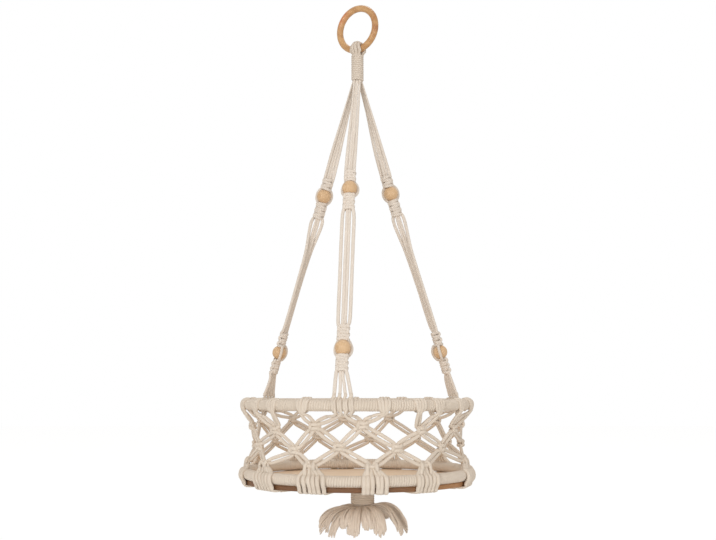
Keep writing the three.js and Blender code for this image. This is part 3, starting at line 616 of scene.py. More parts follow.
def wooden_ring():
    """A turned ring, a little flattened on both faces."""
    bpy.ops.mesh.primitive_torus_add(
        major_radius=RING_RADIUS, minor_radius=RING_SECTION, major_segments=96, minor_segments=28,
        location=(0, 0, RING_CENTRE_Z), rotation=(math.pi / 2, 0, math.radians(RING_TURN)))
    obj = bpy.context.object
    flat = RING_SECTION * 0.6
    bpy.ops.object.mode_set(mode="EDIT")
    bpy.ops.mesh.select_mode(type="FACE")
    pick(obj, lambda polygon: abs(polygon.center.z) > flat)
    bpy.ops.transform.resize(value=(1, 1, RING_FLATTENING), orient_type="LOCAL")
    bpy.ops.object.mode_set(mode="OBJECT")
    settle(obj, "wooden_ring", RING_WOOD, 60)
    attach(obj, "ring")
    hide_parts("hanging_ring")


def in_ring_plane(point):
    return Matrix.Rotation(math.radians(RING_TURN), 3, "Z") @ point


def ring_loops():
    """Six cords folded over the ring, four against it and two over those, running down into the neck."""
    work = Cordwork()
    pitch = 2 * LOOP_CORD - LOOP_PRESS
    for layer, (wrap, lanes) in enumerate(LOOP_LAYERS):
        for lane in lanes:
            hug = RING_SECTION + LOOP_GAP + LOOP_CORD + layer * pitch * 0.6
            swing = lane * pitch / RING_RADIUS
            points = []
            for step in range(-4, 5):
                angle = 180 * (0.5 + wrap) * step / 4
                points.append((hug * sine(angle), RING_BOTTOM_Z + hug * cosine(angle)))
            leg = 0.0042 + layer * pitch * 0.55
            points = [(-leg * 0.9, NECK_TOP_Z - 0.003), (-leg, NECK_TOP_Z + 0.0008), *points,
                      (leg, NECK_TOP_Z + 0.0008), (leg * 0.9, NECK_TOP_Z - 0.003)]
            strand = []
            for y, z in points:
                height = z - RING_CENTRE_Z
                squeeze = 0.6 if z < NECK_TOP_Z + 0.001 else 1
                x = height * math.sin(swing) * squeeze
                strand.append(in_ring_plane(Vector((x, y, RING_CENTRE_Z + height * math.cos(swing)))))
            work.cord(strand, LOOP_CORD, step=0.0012, sides=12)
    obj = work.piece("cords_over_ring", SHADED_NECK_COTTON)
    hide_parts("ring_loop")
    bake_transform(obj)


# Neck

def winding(work, centre, inner, top, bottom):
    """A close winding: one cord, round and down, its start and end turned in under it."""
    radius = inner + WRAP_CORD
    turns = round((top - bottom - 2 * WRAP_CORD) / (2 * WRAP_CORD * WINDING_SQUEEZE))
    drop = (top - bottom - 2 * WRAP_CORD) / turns
    line = []
    for i in range(turns * WINDING_STEPS + 1):
        share = i / WINDING_STEPS
        easing = min(1, share * 5, (turns - share) * 5)
        hug = radius - WRAP_CORD * 0.5 * (1 - easing)
        line.append(Vector(centre) + outward(360 * share + 200) * hug + up(top - WRAP_CORD - drop * share))
    work.sweep(line, WRAP_CORD * 1.1, soft=0.04)


def neck():
    """The gathered cords, and the cord wound round them."""
    core = Cordwork()
    heights = (NECK_TOP_Z, (NECK_TOP_Z + NECK_BOTTOM_Z) / 2, NECK_BOTTOM_Z)
    for ring, (count, radius) in enumerate(NECK_RINGS):
        for k in range(count):
            spot = outward(360 * k / count + 20 * ring) * radius
            core.cord([spot + up(z) for z in heights], NECK_CORD, step=0.004)
    obj = core.piece("gathered_neck_cords", SHADED_NECK_COTTON)
    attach(obj, "sling")
    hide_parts("neck_cords")
    bound = Cordwork()
    winding(bound, (0, 0, 0), NECK_CORE_RADIUS, NECK_TOP_Z, NECK_BOTTOM_Z)
    obj = bound.piece("neck_winding", SHADED_NECK_COTTON)
    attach(obj, "sling")
    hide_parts("neck_wrap")


# Knots

def flat_knots(halves, pitch, half_width, depth, face):
    """The two working cords of a row of flat knots: points of (down, across, thick) from the row's top.
    The first cord crosses in front, from left to right and back; the second crosses behind it,
    and comes out at the front at each side, over the first."""
    front, behind = [], []
    for k in range(halves):
        side = 1 if k % 2 == 0 else -1
        s = (k + 0.5) * pitch
        for down, across, thick in ((-0.26, -1.05, 0.0), (-0.08, -0.7, 0.8), (0, 0, 1.12), (0.05, 0.7, 0.72),
                                    (0.22, 1.05, 0.1)):
            front.append((s + down * pitch, side * across * half_width, face * thick * depth))
        for down, across, thick in ((-0.12, 0.95, 0.95), (0.16, 0.92, 0.0), (0.08, 0.55, -0.9), (0, 0, -1.05),
                                    (-0.08, -0.55, -0.9), (-0.16, -0.92, 0.0), (0.12, -0.95, 0.95)):
            behind.append((s + down * pitch, side * across * half_width, face * thick * depth))
    return front, behind


# Arms

class Arm:
    """Where things lie on one arm, by their distance s down it."""

    def __init__(self, index):
        self.azimuth = ARM_AZIMUTHS[index]
        self.twist, self.low_twist = ARM_TWISTS[index], ARM_LOW_TWISTS[index]
        self.name = ARM_NAMES[index]
        self.top = NECK_BOTTOM_Z - ARM_TOP_GAP
        self.foot = TOP_HOOP_Z + ARM_FOOT_RISE
        self.slant = math.atan2(HOOP_RADIUS - ARM_TOP_RADIUS, self.top - self.foot)
        self.length = (self.top - self.foot) / math.cos(self.slant)
        self.matrix = (Matrix.Translation(place(self.azimuth, ARM_TOP_RADIUS, self.top))
                       @ Matrix.Rotation(math.radians(self.azimuth), 4, "Z")
                       @ Matrix.Rotation(-self.slant, 4, "X"))
        self.inverse = self.matrix.inverted()
        spots = [self.inverse @ middle(f"{self.name}_{place_name}_bead") for place_name in ("upper", "lower")]
        self.beads = [-spot.z for spot in spots]
        self.shifts = [spot.xy for spot in spots]
        half = BEAD_CUT + 0.0003
        self.rows = [    # the start and end of each row of knots, above and below each bead
            (self.beads[0] - half - KNOT_LENGTHS[0], self.beads[0] - half),
            (self.beads[0] + half, self.beads[0] + half + KNOT_LENGTHS[1]),
            (self.beads[1] - half - KNOT_LENGTHS[2], self.beads[1] - half),
            (self.beads[1] + half, self.beads[1] + half + KNOT_LENGTHS[3]),
        ]

    def above_foot(self, s):
        """1 down to the end of the last knots, and from there falling to 0 at the foot."""
        return 1 - smooth((s - self.rows[3][1]) / (self.length - self.rows[3][1]))

    def turn(self, s):
        """The four cords hang as a flat band, which turns from the neck to the first knots,
        and faces outwards again, or nearly so, a little below the second."""
        rows = self.rows
        if s <= rows[1][1]:
            return self.twist * smooth(s / rows[0][0])
        share = smooth((s - rows[1][1]) / UNTWIST_LENGTH)
        return self.twist * (1 - share) + self.low_twist * share * self.above_foot(s)

    def shift(self, s):
        """The arm bows a little from its straight line, most at the beads."""
        rows = self.rows
        lower = smooth((s - rows[1][1]) / (rows[2][0] - rows[1][1]))
        held = smooth(s / rows[0][0]) * self.above_foot(s)
        return (self.shifts[0] * (1 - lower) + self.shifts[1] * lower) * held

    def at(self, s, across, thick):
        """The place of a point on the band: across it, and behind its middle."""
        angle = math.radians(self.turn(s))
        aside, inwards = self.shift(s)
        local = Vector((across * math.cos(angle) - thick * math.sin(angle) + aside,
                        across * math.sin(angle) + thick * math.cos(angle) + inwards, -s))
        return self.matrix @ local

    def facing(self, point):
        """The direction that the flat side of the band looks in."""
        angle = math.radians(self.turn(-(self.inverse @ point).z))
        return self.matrix.to_3x3() @ Vector((math.sin(angle), -math.cos(angle), 0))


def arm_filler(arm, hand):
    """A straight cord: through the knots and beads, a little further from its neighbour where it is free."""
    half = FILLER_SPACING / 2
    top = half * NECK_CORD / CORD
    first, second, third, last = arm.rows
    stops = [(-ARM_TUCK, top), (0, top), (first[0] * 0.5, (top + half) / 2), (first[0], half),
             (second[1], half), (second[1] + 0.02, half * 1.05), ((second[1] + third[0]) / 2, half * 1.12),
             (third[0] - 0.02, half * 1.05), (third[0], half), (last[1], half),
             ((last[1] + arm.length) / 2, half + 0.0006), (arm.length + FOOT_TUCK, FOOT_SPACING / 2)]
    return [arm.at(s, hand * across + rng.uniform(-1, 1) * 0.0001, 0) for s, across in stops]


def arm_worker(arm, hand, bead_side):
    """A working cord: down the band, through each row of knots and round each bead. At the upper beads
    of the side arms it lags to the other side than at the lower ones."""
    free = FREE_SPACING / 2
    points = [(-ARM_TUCK, hand * 0.0038, 0), (0, hand * 0.0041, 0),
              (arm.rows[0][0] * 0.35, hand * 0.0046, 0), (arm.rows[0][0] * 0.7, hand * 0.0054, 0)]
    for index, (start, end) in enumerate(arm.rows):
        halves = KNOT_HALVES[index]
        front, behind = flat_knots(halves, (end - start) / halves, KNOT_HALF_WIDTH, KNOT_DEPTH, -1)
        cords = front if hand < 0 else behind
        points += [(start + s, across, thick) for s, across, thick in cords]
        if index in (0, 2):
            centre = arm.beads[index // 2]
            lag = BEAD_LAG * (bead_side if index == 0 else 1)
            reach = BEAD_RADIUS + 0.0004 + CORD
            for step in range(-3, 4):
                angle = BEAD_REACH * step / 3
                ring = reach * cosine(angle)
                points.append((centre + reach * sine(angle), hand * ring * cosine(lag), ring * sine(lag)))
        if index == 1:
            span = arm.rows[2][0] - end
            points += [(end + 0.010, hand * free, 0), (end + span * 0.3, hand * free * 1.02, 0),
                       (end + span * 0.6, hand * free, 0), (end + span - 0.010, hand * free * 0.98, 0)]
        if index == 3:
            points += [(end + 0.009, hand * free, 0), (arm.length + FOOT_TUCK, hand * FOOT_SPACING * 1.5, 0)]
    return [arm.at(*point) for point in points]


def arms():
    """Each arm is two pieces, its straight cords and its tied ones. They are thin at the neck,
    and full from the first knots."""
    for index in range(3):
        arm = Arm(index)
        inner = Cordwork()
        outer = Cordwork()
        for hand in (-1, 1):
            for work, points in ((inner, arm_filler(arm, hand)),
                                 (outer, arm_worker(arm, hand, UPPER_BEAD_SIDES[index]))):
                line = through(points, 0.0014)
                full = CORD if work is inner else SOFT_CORD
                radii = []
                for point in line:
                    share = min(1, max(0, -(arm.inverse @ point).z / arm.rows[0][0]))
                    radii.append(NECK_CORD + (full - NECK_CORD) * share)
                work.sweep(line, radii, sides=12, flat=ARM_FLAT, facing=arm.facing)
        for work, kind in ((inner, "filler_cords"), (outer, "knotted_cords")):
            obj = work.piece(f"{arm.name}_{'straight' if work is inner else 'tied'}_cords", LIT_ARM_COTTON)
            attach(obj, "sling")
            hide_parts(f"{arm.name}_{kind}")


def beads():
    """Each bead is a ball, cut off square at both ends of its bore, with the bore's wall between."""
    for joint in frame["joints"]:
        if not joint["name"].endswith("bead_spin"):
            continue
        axis = Vector(joint["axis"]).normalized()
        turned = Vector((0, 0, 1)).rotation_difference(axis).to_euler()
        bpy.ops.mesh.primitive_uv_sphere_add(segments=48, ring_count=32, radius=BEAD_RADIUS,
                                             location=joint["pos_m"], rotation=turned)
        obj = bpy.context.object
        bpy.ops.object.transform_apply(location=True, rotation=True, scale=True)
        centre = Vector(joint["pos_m"])
        bpy.ops.object.mode_set(mode="EDIT")
        bpy.ops.mesh.select_mode(type="EDGE")
        for end in (-1, 1):
            bpy.ops.mesh.select_all(action="SELECT")
            flat_end = centre + axis * (end * BEAD_CUT)
            bpy.ops.mesh.bisect(plane_co=flat_end, plane_no=axis * end, clear_outer=True)
        bpy.ops.mesh.select_all(action="DESELECT")
        bpy.ops.mesh.select_non_manifold()
        bpy.ops.mesh.bridge_edge_loops()
        bpy.ops.mesh.select_all(action="SELECT")
        bpy.ops.mesh.normals_make_consistent(inside=False)
        bpy.ops.object.mode_set(mode="OBJECT")
        round_edges(obj, width=0.0005, segments=3, angle=40)
        settle(obj, f"wooden_{joint['child']}", BEAD_WOOD, 45)
        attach(obj, joint["child"])
        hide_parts(joint["child"])


# Hoops and board

def hoop_windings():
    """One long cord wound close round each rod."""
    count = HOOP_TURNS * HOOP_TURN_STEPS
    for name, z in (("top_hoop", TOP_HOOP_Z), ("bottom_hoop", BOTTOM_HOOP_Z)):
        work = Cordwork()
        line = []
        radius = HOOP_WRAP - HOOP_CORD
        for i in range(count + 1):
            azimuth = 180 + 360 * i / count
            azimuth += HOOP_TURN_DRIFT * noise.noise(Vector((azimuth / 4, z * 40, 0)))
            angle = 360 * i / HOOP_TURN_STEPS
            hug = radius * (1 + HOOP_TURN_SWELL * noise.noise(Vector((azimuth / 5, z * 90, 4))))
            line.append(place(azimuth, HOOP_RADIUS + hug * cosine(angle), z + hug * sine(angle)))
        work.sweep(line, HOOP_CORD_WIDTH, sides=8, flat=HOOP_CORD / HOOP_CORD_WIDTH,
                   facing=lambda point: off_rod(point, z).normalized(), soft=0.06)
        obj = work.piece(f"{name}_winding", NET_COTTON)
        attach(obj, "sling")
        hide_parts(f"{name}_wrap")
    for name in ("top_hoop_core", "bottom_hoop_core"):
        node = frame["nodes"][name]
        node.data.materials.clear()
        node.data.materials.append(ROD_STEEL)


def shelf_board():
    """A disc with a sanded edge."""
    thickness = BOARD_HIGH.z - BOARD_LOW.z
    bpy.ops.mesh.primitive_cylinder_add(vertices=128, radius=BOARD_RADIUS, depth=thickness,
                                        location=(0, 0, (BOARD_HIGH.z + BOARD_LOW.z) / 2))
    obj = bpy.context.object
    bpy.ops.object.mode_set(mode="EDIT")
    bpy.ops.mesh.select_mode(type="FACE")
    pick(obj, lambda polygon: abs(polygon.normal.z) > 0.9)
    bpy.ops.mesh.inset(thickness=0.004)
    bpy.ops.mesh.inset(thickness=0.02)
    bpy.ops.object.mode_set(mode="OBJECT")
    select_only(obj)
    bpy.ops.object.transform_apply(location=True, rotation=True, scale=True)
    round_edges(obj, width=0.0014, segments=4, angle=50)
    settle(obj, "wooden_board", BOARD_WOOD, 40)
    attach(obj, "sling")
    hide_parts("shelf_board")


# Net

def group_azimuth(group):
    return FIRST_AZIMUTH + 360 * group / GROUPS


def top_azimuth(group):
    return group_azimuth(group) + GROUP_WANDERS[group % GROUPS]


def beside(group, hand):
    """The number of the first-row knot, and of the cluster, that a group shares with its neighbour."""
    return group if hand > 0 else group - 1


def first_row(group):
    """The azimuth, radius and height of a knot between a group and the next."""
    return (group_azimuth(group + 0.5) + FIRST_ROW_WANDERS[group % GROUPS], FIRST_ROW_RADIUS,
            TOP_HOOP_Z - FIRST_ROW_DROPS[group % GROUPS])


def second_row(group):
    """The same for a knot under the middle of a group."""
    return (group_azimuth(group) + SECOND_ROW_WANDERS[group % GROUPS], SECOND_ROW_RADIUS,
            TOP_HOOP_Z - SECOND_ROW_DROPS[group % GROUPS])


def cluster_azimuth(group):
    return group_azimuth(group + 0.5) + CLUSTER_WANDERS[group % GROUPS]


def round_hoop(azimuth, hoop_z, angle, across, reach=HITCH):
    """A point on a cord that goes round a hoop. Angle 0 is its outer side and 90 its top."""
    return place(azimuth, HOOP_RADIUS + reach * cosine(angle), hoop_z + reach * sine(angle), across)


def knot_points(knot, side, member):
    """The way of one cord through a net knot. Side is the pair's side of the knot, -1 on the left."""
    azimuth, radius, z = knot
    top = z + NET_KNOT_PITCH
    if member != side:
        return [place(azimuth, radius, top - drop, side * NET_FILLER) for drop in
                (-0.0008, NET_KNOT_PITCH, 2 * NET_KNOT_PITCH + 0.0008)]
    front, behind = flat_knots(2, NET_KNOT_PITCH, NET_KNOT_HALF_WIDTH, NET_KNOT_DEPTH, 1)
    cords = front if side < 0 else behind
    return [place(azimuth, radius, top - drop, across, thick) for drop, across, thick in cords]


def pair_ends(knot, side, end):
    """The middle of a pair where it enters (end 1) or leaves (end -1) a knot."""
    azimuth, radius, z = knot
    return place(azimuth, radius, z + end * (NET_KNOT_PITCH + 0.0004), side * 0.0050)


def between(start, end, member, opening, shares):
    """Points of one cord of a pair on its straight way from knot to knot."""
    points = []
    for share in shares:
        point = start.lerp(end, share)
        out = level_out(point)
        aside = out.cross(end - start).normalized()
        if aside.dot(Vector((-out.y, out.x, 0))) < 0:
            aside = -aside
        points.append(point + aside * (member * (PAIR_GAP * 0.93 + opening * math.sin(math.pi * share))))
    return points


def off_the_hoops(point):
    """The flat side of a net cord looks outwards, and away from a hoop or the board that it lies on."""
    for z in (TOP_HOOP_Z, BOTTOM_HOOP_Z):
        away = off_rod(point, z)
        near = NEAR_RIM if z == BOTTOM_HOOP_Z and point.z < z else NEAR_HOOP
        if away.length < near:
            return away.normalized()
    return level_out(point)


def fullness(group, line):
    """Half the width of a net cord along its line, and its flatness. The cords of an arm are drawn tight
    where they are tied to the top hoop. Those of a cluster spread over the bottom hoop, and are pressed
    flat under the board."""
    radii, flats = [], []
    for point in line:
        free = off_rod(point, TOP_HOOP_Z).length
        loose = smooth((free - HITCH) / 0.008) if group in ARM_GROUPS else 1
        spread = smooth((point.z - BOTTOM_HOOP_Z - HITCH) / 0.008)
        radii.append(TIGHT_CORD + (CLUSTER_CORD + (SOFT_CORD - CLUSTER_CORD) * spread - TIGHT_CORD) * loose)
        pressed = smooth((BOARD_LOW.z + 0.004 - point.z) / 0.005)
        flats.append((1 - (1 - SOFT_FLAT) * (0.6 + 0.4 * spread)) * (1 - 0.38 * pressed))
    return radii, flats


def hitch_points(group, hand, member):
    """One cord at the top hoop. On an arm it comes down and goes round once and a third, and elsewhere
    it comes out from behind, through its own loop."""
    azimuth = top_azimuth(group)
    if group in ARM_GROUPS:
        slide = hand * FOOT_SPACING + member * FOOT_SPACING / 2
        points = [place(azimuth, HOOP_RADIUS, TOP_HOOP_Z + 0.0150, slide * 0.99)]
        for turn in range(9):
            angle = 80 - 60 * turn if turn < 8 else -400
            across = slide - 0.0018 + 0.0036 * turn / 8
            points.append(round_hoop(azimuth, TOP_HOOP_Z, angle, across))
        points.append(place(azimuth, HOOP_RADIUS + 0.003, TOP_HOOP_Z - 0.0115, slide * 0.9))
        return points
    azimuth += hand * NET_PAIR_TURN
    lean = -hand * 0.0012
    way = ((262, 0.0016), (222, 0.0022), (178, 0.0024), (135, 0.0025), (92, 0.0025), (48, 0.0024), (8, 0.0022))
    points = [round_hoop(azimuth, TOP_HOOP_Z, angle, member * across) for angle, across in way]
    points.append(place(azimuth, HOOP_RADIUS + 0.0070, TOP_HOOP_Z - 0.0048, member * 0.0019 + lean * 0.4))
    points.append(place(azimuth, HOOP_RADIUS + 0.0050, TOP_HOOP_Z - 0.0092, member * 0.0015 + lean))
    return points


def mirrored(half, middle_point):
    """Points down one side, at the middle and up the other side. The last value of each is its side."""
    return [(*rest, -across) for *rest, across in half] + [middle_point, *reversed(half)]


def hitch_loop(group, hand):
    """The outer strands of a hitch: down in front of the hoop on both sides, and across under the pair."""
    azimuth = top_azimuth(group) + hand * NET_PAIR_TURN
    leg = ((0, 95, 0.0062), (0, 40, 0.0064), (0, 0, 0.0060), (0.0007, -38, 0.0045))
    shape = mirrored(leg, (0.0022, -55, 0))
    return [round_hoop(azimuth, TOP_HOOP_Z, angle, across, HITCH + out) for out, angle, across in shape]


def cluster_points(group, side, member, doubled=False):
    """One cord from the gather, over the bottom hoop and the rim of the board, and in under it.
    Beside each outer cord lies a second turn of it, which comes over the gather from behind."""
    azimuth = cluster_azimuth(group)
    rank = 0 if member != side else (1 if doubled else 2)
    lean, fan = CLUSTER_LEANS[group % GROUPS], CLUSTER_FANS[group % GROUPS]
    straight = side * CLUSTER_OVER[rank] * fan + rng.uniform(-1, 1) * 0.0008
    over = straight + lean * 0.7
    low = side * CLUSTER_UNDER[rank] * fan + lean + rng.uniform(-1, 1) * 0.0010
    reach = HITCH + rng.uniform(-0.0010, 0.0003)
    gather_z = BOTTOM_HOOP_Z + GATHER_HEIGHT
    if doubled:
        gather = straight * 0.62 / fan
        way = ((0.4, -0.0030, -0.0030), (0.7, -0.0012, 0.0018), (1, 0.0030, 0.0012), (1.12, 0.0050, -0.0035))
        points = [place(azimuth, GATHER_RADIUS + out, gather_z + lift, gather * spread)
                  for spread, out, lift in way]
    else:
        gather = side * (0.0052 if rank else 0.0018)
        points = [place(azimuth, GATHER_RADIUS, gather_z, gather),
                  place(azimuth, GATHER_RADIUS + 0.002, gather_z - 0.0045, gather * 0.75 + over * 0.25)]
    points += [round_hoop(azimuth, BOTTOM_HOOP_Z, angle, over * spread + gather * (1 - spread), reach)
               for angle, spread in ((78, 0.8), (42, 0.95), (8, 1.0))]
    rim = ((HOOP_RADIUS + reach, 0.0045), (BOARD_RADIUS + RIM_GAP, 0.0098),
           (BOARD_RADIUS + RIM_GAP * 0.8, 0.0136))
    points += [place(azimuth, radius, BOTTOM_HOOP_Z - drop, over * 0.4 + low * 0.6) for radius, drop in rim]
    tucks = ((0.0020, 1), (0.006, 1)) if doubled else ((0.0020, 1), (0.007, 1), (0.014, 0.8))
    points += [place(azimuth, BOARD_RADIUS - inside, BOARD_LOW.z - UNDER_GAP, low * spread)
               for inside, spread in tucks]
    return points


def gather_tie(group):
    """The turn that holds a cluster's four cords together."""
    azimuth = cluster_azimuth(group)
    z = BOTTOM_HOOP_Z + GATHER_HEIGHT - 0.001
    end = ((-0.0036, 0.0010, 0.0050), (0, 0.0006, 0.0074), (0.0022, 0.0002, 0.0044))
    shape = mirrored(end, (0.0026, -0.0003, 0))
    return [place(azimuth, GATHER_RADIUS, z + lift, across, out) for out, lift, across in shape]


def net_cord(group, hand, member):
    """One cord of the net, from the top hoop through two knots to a cluster: pair -1 or 1 of its group,
    and -1 or 1 in the pair."""
    shared = beside(group, hand)
    knots = [(first_row(shared), -hand), (second_row(group), hand)]
    points = hitch_points(group, hand, member)
    start = points[-1] - sideways(top_azimuth(group)) * (member * 0.0014)
    openings = random.Random(group * 2 + hand)
    shares = (0.5, 0.9)
    for knot, side in knots:
        points += between(start, pair_ends(knot, side, 1), member, openings.uniform(0, 0.0009), shares)
        points += knot_points(knot, side, member)
        start = pair_ends(knot, side, -1)
        shares = (0.1, 0.5, 0.9)
    end = cluster_points(shared, -hand, member)
    gather = place(cluster_azimuth(shared), GATHER_RADIUS, BOTTOM_HOOP_Z + GATHER_HEIGHT, -hand * 0.0037)
    return points + between(start, gather, member, openings.uniform(0, 0.0007), (0.1, 0.5, 0.85)) + end


def net():
    """One piece for each group: its four cords, the second turns of the outer ones, its hitches and a tie."""
    soft = {"flat": SOFT_FLAT, "facing": off_the_hoops}
    for group in range(GROUPS):
        work = Cordwork()
        for hand in (-1, 1):
            for member in (-1, 1):
                cords = [net_cord(group, hand, member)]
                if member == -hand:
                    cords.append(cluster_points(beside(group, hand), -hand, member, doubled=True))
                for points in cords:
                    line = through(points, 0.0013)
                    radii, flats = fullness(group, line)
                    work.sweep(line, radii, sides=12, flat=flats, facing=off_the_hoops)
            if group not in ARM_GROUPS:
                work.cord(hitch_loop(group, hand), SOFT_CORD * 0.9, step=0.0013, **soft)
        work.cord(gather_tie(group), SOFT_CORD, step=0.0012, **soft)
        obj = work.piece(f"net_{group + 1:02d}", NET_COTTON)
        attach(obj, "sling")
        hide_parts(f"net_cords_{group + 1:02d}")


def cords_under_board():
    """The four cords of each cluster run in to the middle, where they are squeezed together."""
    work = Cordwork()
    hub = Vector((TASSEL_SHIFT, 0, 0))
    for group in range(GROUPS):
        azimuth = cluster_azimuth(group)
        lean, fan = CLUSTER_LEANS[group], CLUSTER_FANS[group]
        for index, across in enumerate(SPOKE_LANES):
            start = place(azimuth, BOARD_RADIUS - 0.012, BOARD_LOW.z - CORD * 0.9, across * fan + lean)
            angle = azimuth + (index - 1.5) * SPOKE_TURN
            near = hub + outward(angle) * SPOKE_BEND_RADIUS + up(BOARD_LOW.z - 0.0021)
            end = hub + outward(angle) * SPOKE_END_RADIUS + up(BOARD_LOW.z - 0.0024)
            line = through([start, start.lerp(near, 0.35), start.lerp(near, 0.7), near, end], 0.003)
            radii = [SPOKE_CORD + (SPOKE_TIP - SPOKE_CORD) * (i / len(line)) ** 1.6 for i in range(len(line))]
            work.sweep(line, radii, sides=8)
    obj = work.piece("cords_under_board", SHADED_UNDER_COTTON)
    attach(obj, "sling")
    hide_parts("under_board_cords")


# Tassel

def tassel_neck():
    """The cords that come down from the middle of the board and spread, and the cord that binds them."""
    core = Cordwork()
    wide = TASSEL_NECK_RADIUS - 2 * WRAP_CORD
    shape = ((0.0020, PIVOT_Z - 0.0006), (0.0060, PIVOT_Z - 0.0030), (wide - 0.003, PIVOT_Z - 0.0062),
             (wide - 0.0018, PIVOT_Z - 0.012), (wide - 0.0018, TASSEL_NECK_BOTTOM_Z))
    for k in range(TASSEL_CORDS):
        out = outward(360 * k / TASSEL_CORDS)
        points = [Vector((TASSEL_SHIFT, 0, z)) + out * radius for radius, z in shape]
        core.cord(points, TASSEL_CORD, step=0.0018, sides=8)
    obj = core.piece("gathered_tassel_cords", SHADED_UNDER_COTTON)
    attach(obj, "tassel")
    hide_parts("tassel_gathered_cords")
    bound = Cordwork()
    winding(bound, (TASSEL_SHIFT, 0, 0), wide, TASSEL_TOP_Z, TASSEL_NECK_BOTTOM_Z)
    obj = bound.piece("tassel_winding", SHADED_UNDER_COTTON)
    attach(obj, "tassel")
    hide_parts("tassel_wrap")


def lock_line(index, across, thick, length, wave, phase):
    """One bundle of fibres in a lock: out from under the neck, over and down. Across and thick place it
    in the lock, from -1 to 1."""
    azimuth, twist = LOCK_AZIMUTHS[index], LOCK_TWISTS[index]
    start = TASSEL_NECK_RADIUS - 2 * WRAP_CORD - 0.006
    reach = LOCK_REACH * LOCK_REACH_SHARES[index] - start
    top = TASSEL_NECK_BOTTOM_Z - 0.0030
    points = []
    steps = 11
    for step in range(steps + 1):
        t = length * step / steps
        radius = start + reach * sine(82 * t)
        z = top - LOCK_DROPS[index] * t ** 2.8 + LOCK_RISES[index] * sine(180 * min(1, t * 1.3))
        spread = 0.0030 + (0.0110 * LOCK_WIDTHS[index] - 0.0030) * smooth(t * 1.3)
        swell = 0.0022 + 0.0020 * smooth(t * 1.4)
        wander = wave * math.sin(phase + t * 8) * t
        fall = 0.0035 * across * across * t
        point = Vector((TASSEL_SHIFT, 0, z - fall)) + outward(azimuth) * (radius + wander)
        point += sideways(azimuth) * (across * spread * cosine(twist) + wander)
        point.z += thick * swell * cosine(twist) - (1 + across) * spread * sine(twist)
        points.append(point)
    return points


def off_the_neck(point):
    """The flat side of a lock looks up at its root, and outwards where it hangs."""
    return Vector((point.x - TASSEL_SHIFT, point.y, 0)).normalized() + up(0.7)


def tassel_locks():
    """The frayed ends. Every fifth strand of a lock is shorter."""
    work = Cordwork()
    for index in range(len(LOCK_AZIMUTHS)):
        for strand in range(LOCK_STRANDS):
            across = rng.uniform(-1, 1)
            thick = rng.uniform(-1, 1) * math.sqrt(1 - across ** 2 * 0.8)
            length = 1.0 - 0.1 * across ** 2 + rng.uniform(-0.035, 0.02) - (0.12 if strand % 5 == 0 else 0)
            points = lock_line(index, across, thick, length, rng.uniform(0.0002, 0.0008), rng.uniform(0, 6.3))
            full = rng.uniform(0.0015, 0.0023)
            line = through(points, 0.0036)
            radii = [full * (1 - 0.25 * (i / len(line)) ** 6) for i in range(len(line))]
            work.sweep(line, radii, sides=6, flat=0.45, facing=off_the_neck, soft=0.2)
    obj = work.piece("frayed_tassel", FRAYED_AND_LIT_COTTON)
    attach(obj, "tassel")
    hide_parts("tassel_locks")


# Setting

def camera():
    """In front, a little higher than the top hoop, looking slightly upwards."""
    data = bpy.data.cameras.new("photo_camera")
    data.lens = CAMERA_LENS
    obj = bpy.data.objects.new("photo_camera", data)
    obj.location = CAMERA_PLACE
    obj.rotation_euler = (math.radians(90 + CAMERA_PITCH), 0, 0)
    bpy.context.scene.collection.objects.link(obj)
    bpy.context.scene.camera = obj


def lamp(name, energy, spot):
    data = bpy.data.lights.new(name, "AREA")
    data.shape = "DISK"
    data.size = LAMP_SIZE
    data.energy = energy
    data.color = LAMP_TINT
    obj = bpy.data.objects.new(name, data)
    obj.location = spot
    obj.rotation_euler = (LAMP_AIM - Vector(spot)).to_track_quat("-Z", "Y").to_euler()
    bpy.context.scene.collection.objects.link(obj)


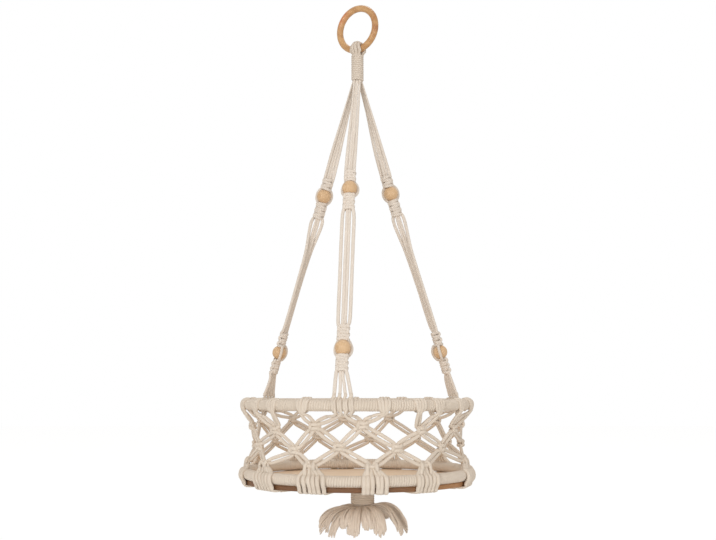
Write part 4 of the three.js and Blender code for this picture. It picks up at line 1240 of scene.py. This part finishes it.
def seen_ray(tree):
    """1 for rays that show the background: from the camera, and in gloss and glass."""
    path = tree.nodes.new("ShaderNodeLightPath")
    total = path.outputs["Is Camera Ray"]
    for other in ("Is Glossy Ray", "Is Transmission Ray"):
        node = tree.nodes.new("ShaderNodeMath")
        node.operation = "MAXIMUM"
        tree.links.new(total, node.inputs[0])
        tree.links.new(path.outputs[other], node.inputs[1])
        total = node.outputs[0]
    return total


def blend_shaders(tree, share, lit, seen, output):
    """One shader for the light on the object and one for what is seen behind it, mixed by a share."""
    mixer = tree.nodes.new("ShaderNodeMixShader")
    for socket, target in zip((share, lit.outputs[0], seen.outputs[0]), mixer.inputs):
        tree.links.new(socket, target)
    tree.links.new(mixer.outputs[0], tree.nodes[output].inputs["Surface"])


def studio_light():
    """A warm even light from all round, white where it is seen, and three lamps."""
    world = bpy.data.worlds.new("studio")
    bpy.context.scene.world = world
    world.use_nodes = True
    tree = world.node_tree
    lit = tree.nodes["Background"]
    lit.inputs["Color"].default_value = WORLD_TINT
    lit.inputs["Strength"].default_value = WORLD_STRENGTH
    white = tree.nodes.new("ShaderNodeBackground")
    white.inputs["Color"].default_value = (1, 1, 1, 1)
    blend_shaders(tree, seen_ray(tree), lit, white, "World Output")
    for name, energy, spot in LAMPS:
        lamp(name, energy, spot)


def pale_floor():
    """A pale floor with the object's shadow, nearly white where it is seen."""
    bpy.ops.mesh.primitive_plane_add(size=12, location=(0, 0, cad_box[0].z - FLOOR_DROP))
    floor = bpy.context.object
    floor.name = "floor"
    shader = Shader("floor_white")
    shader.finish(colour(238, 237, 235), 0.9)
    tree = shader.tree
    glow = tree.nodes.new("ShaderNodeEmission")
    glow.inputs["Strength"].default_value = FLOOR_GLOW
    share = shader.sum("MULTIPLY", Socket(shader, seen_ray(tree)), FLOOR_GLOW_SHARE)
    blend_shaders(tree, share.socket, shader.principled, glow, "Material Output")
    floor.data.materials.append(shader.material)


camera()
studio_light()
pale_floor()
wooden_ring()
ring_loops()
neck()
arms()
beads()
hoop_windings()
shelf_board()
net()
cords_under_board()
tassel_neck()
tassel_locks()

bpy.context.scene.view_settings.view_transform = "Standard"
bpy.ops.object.select_all(action="DESELECT")
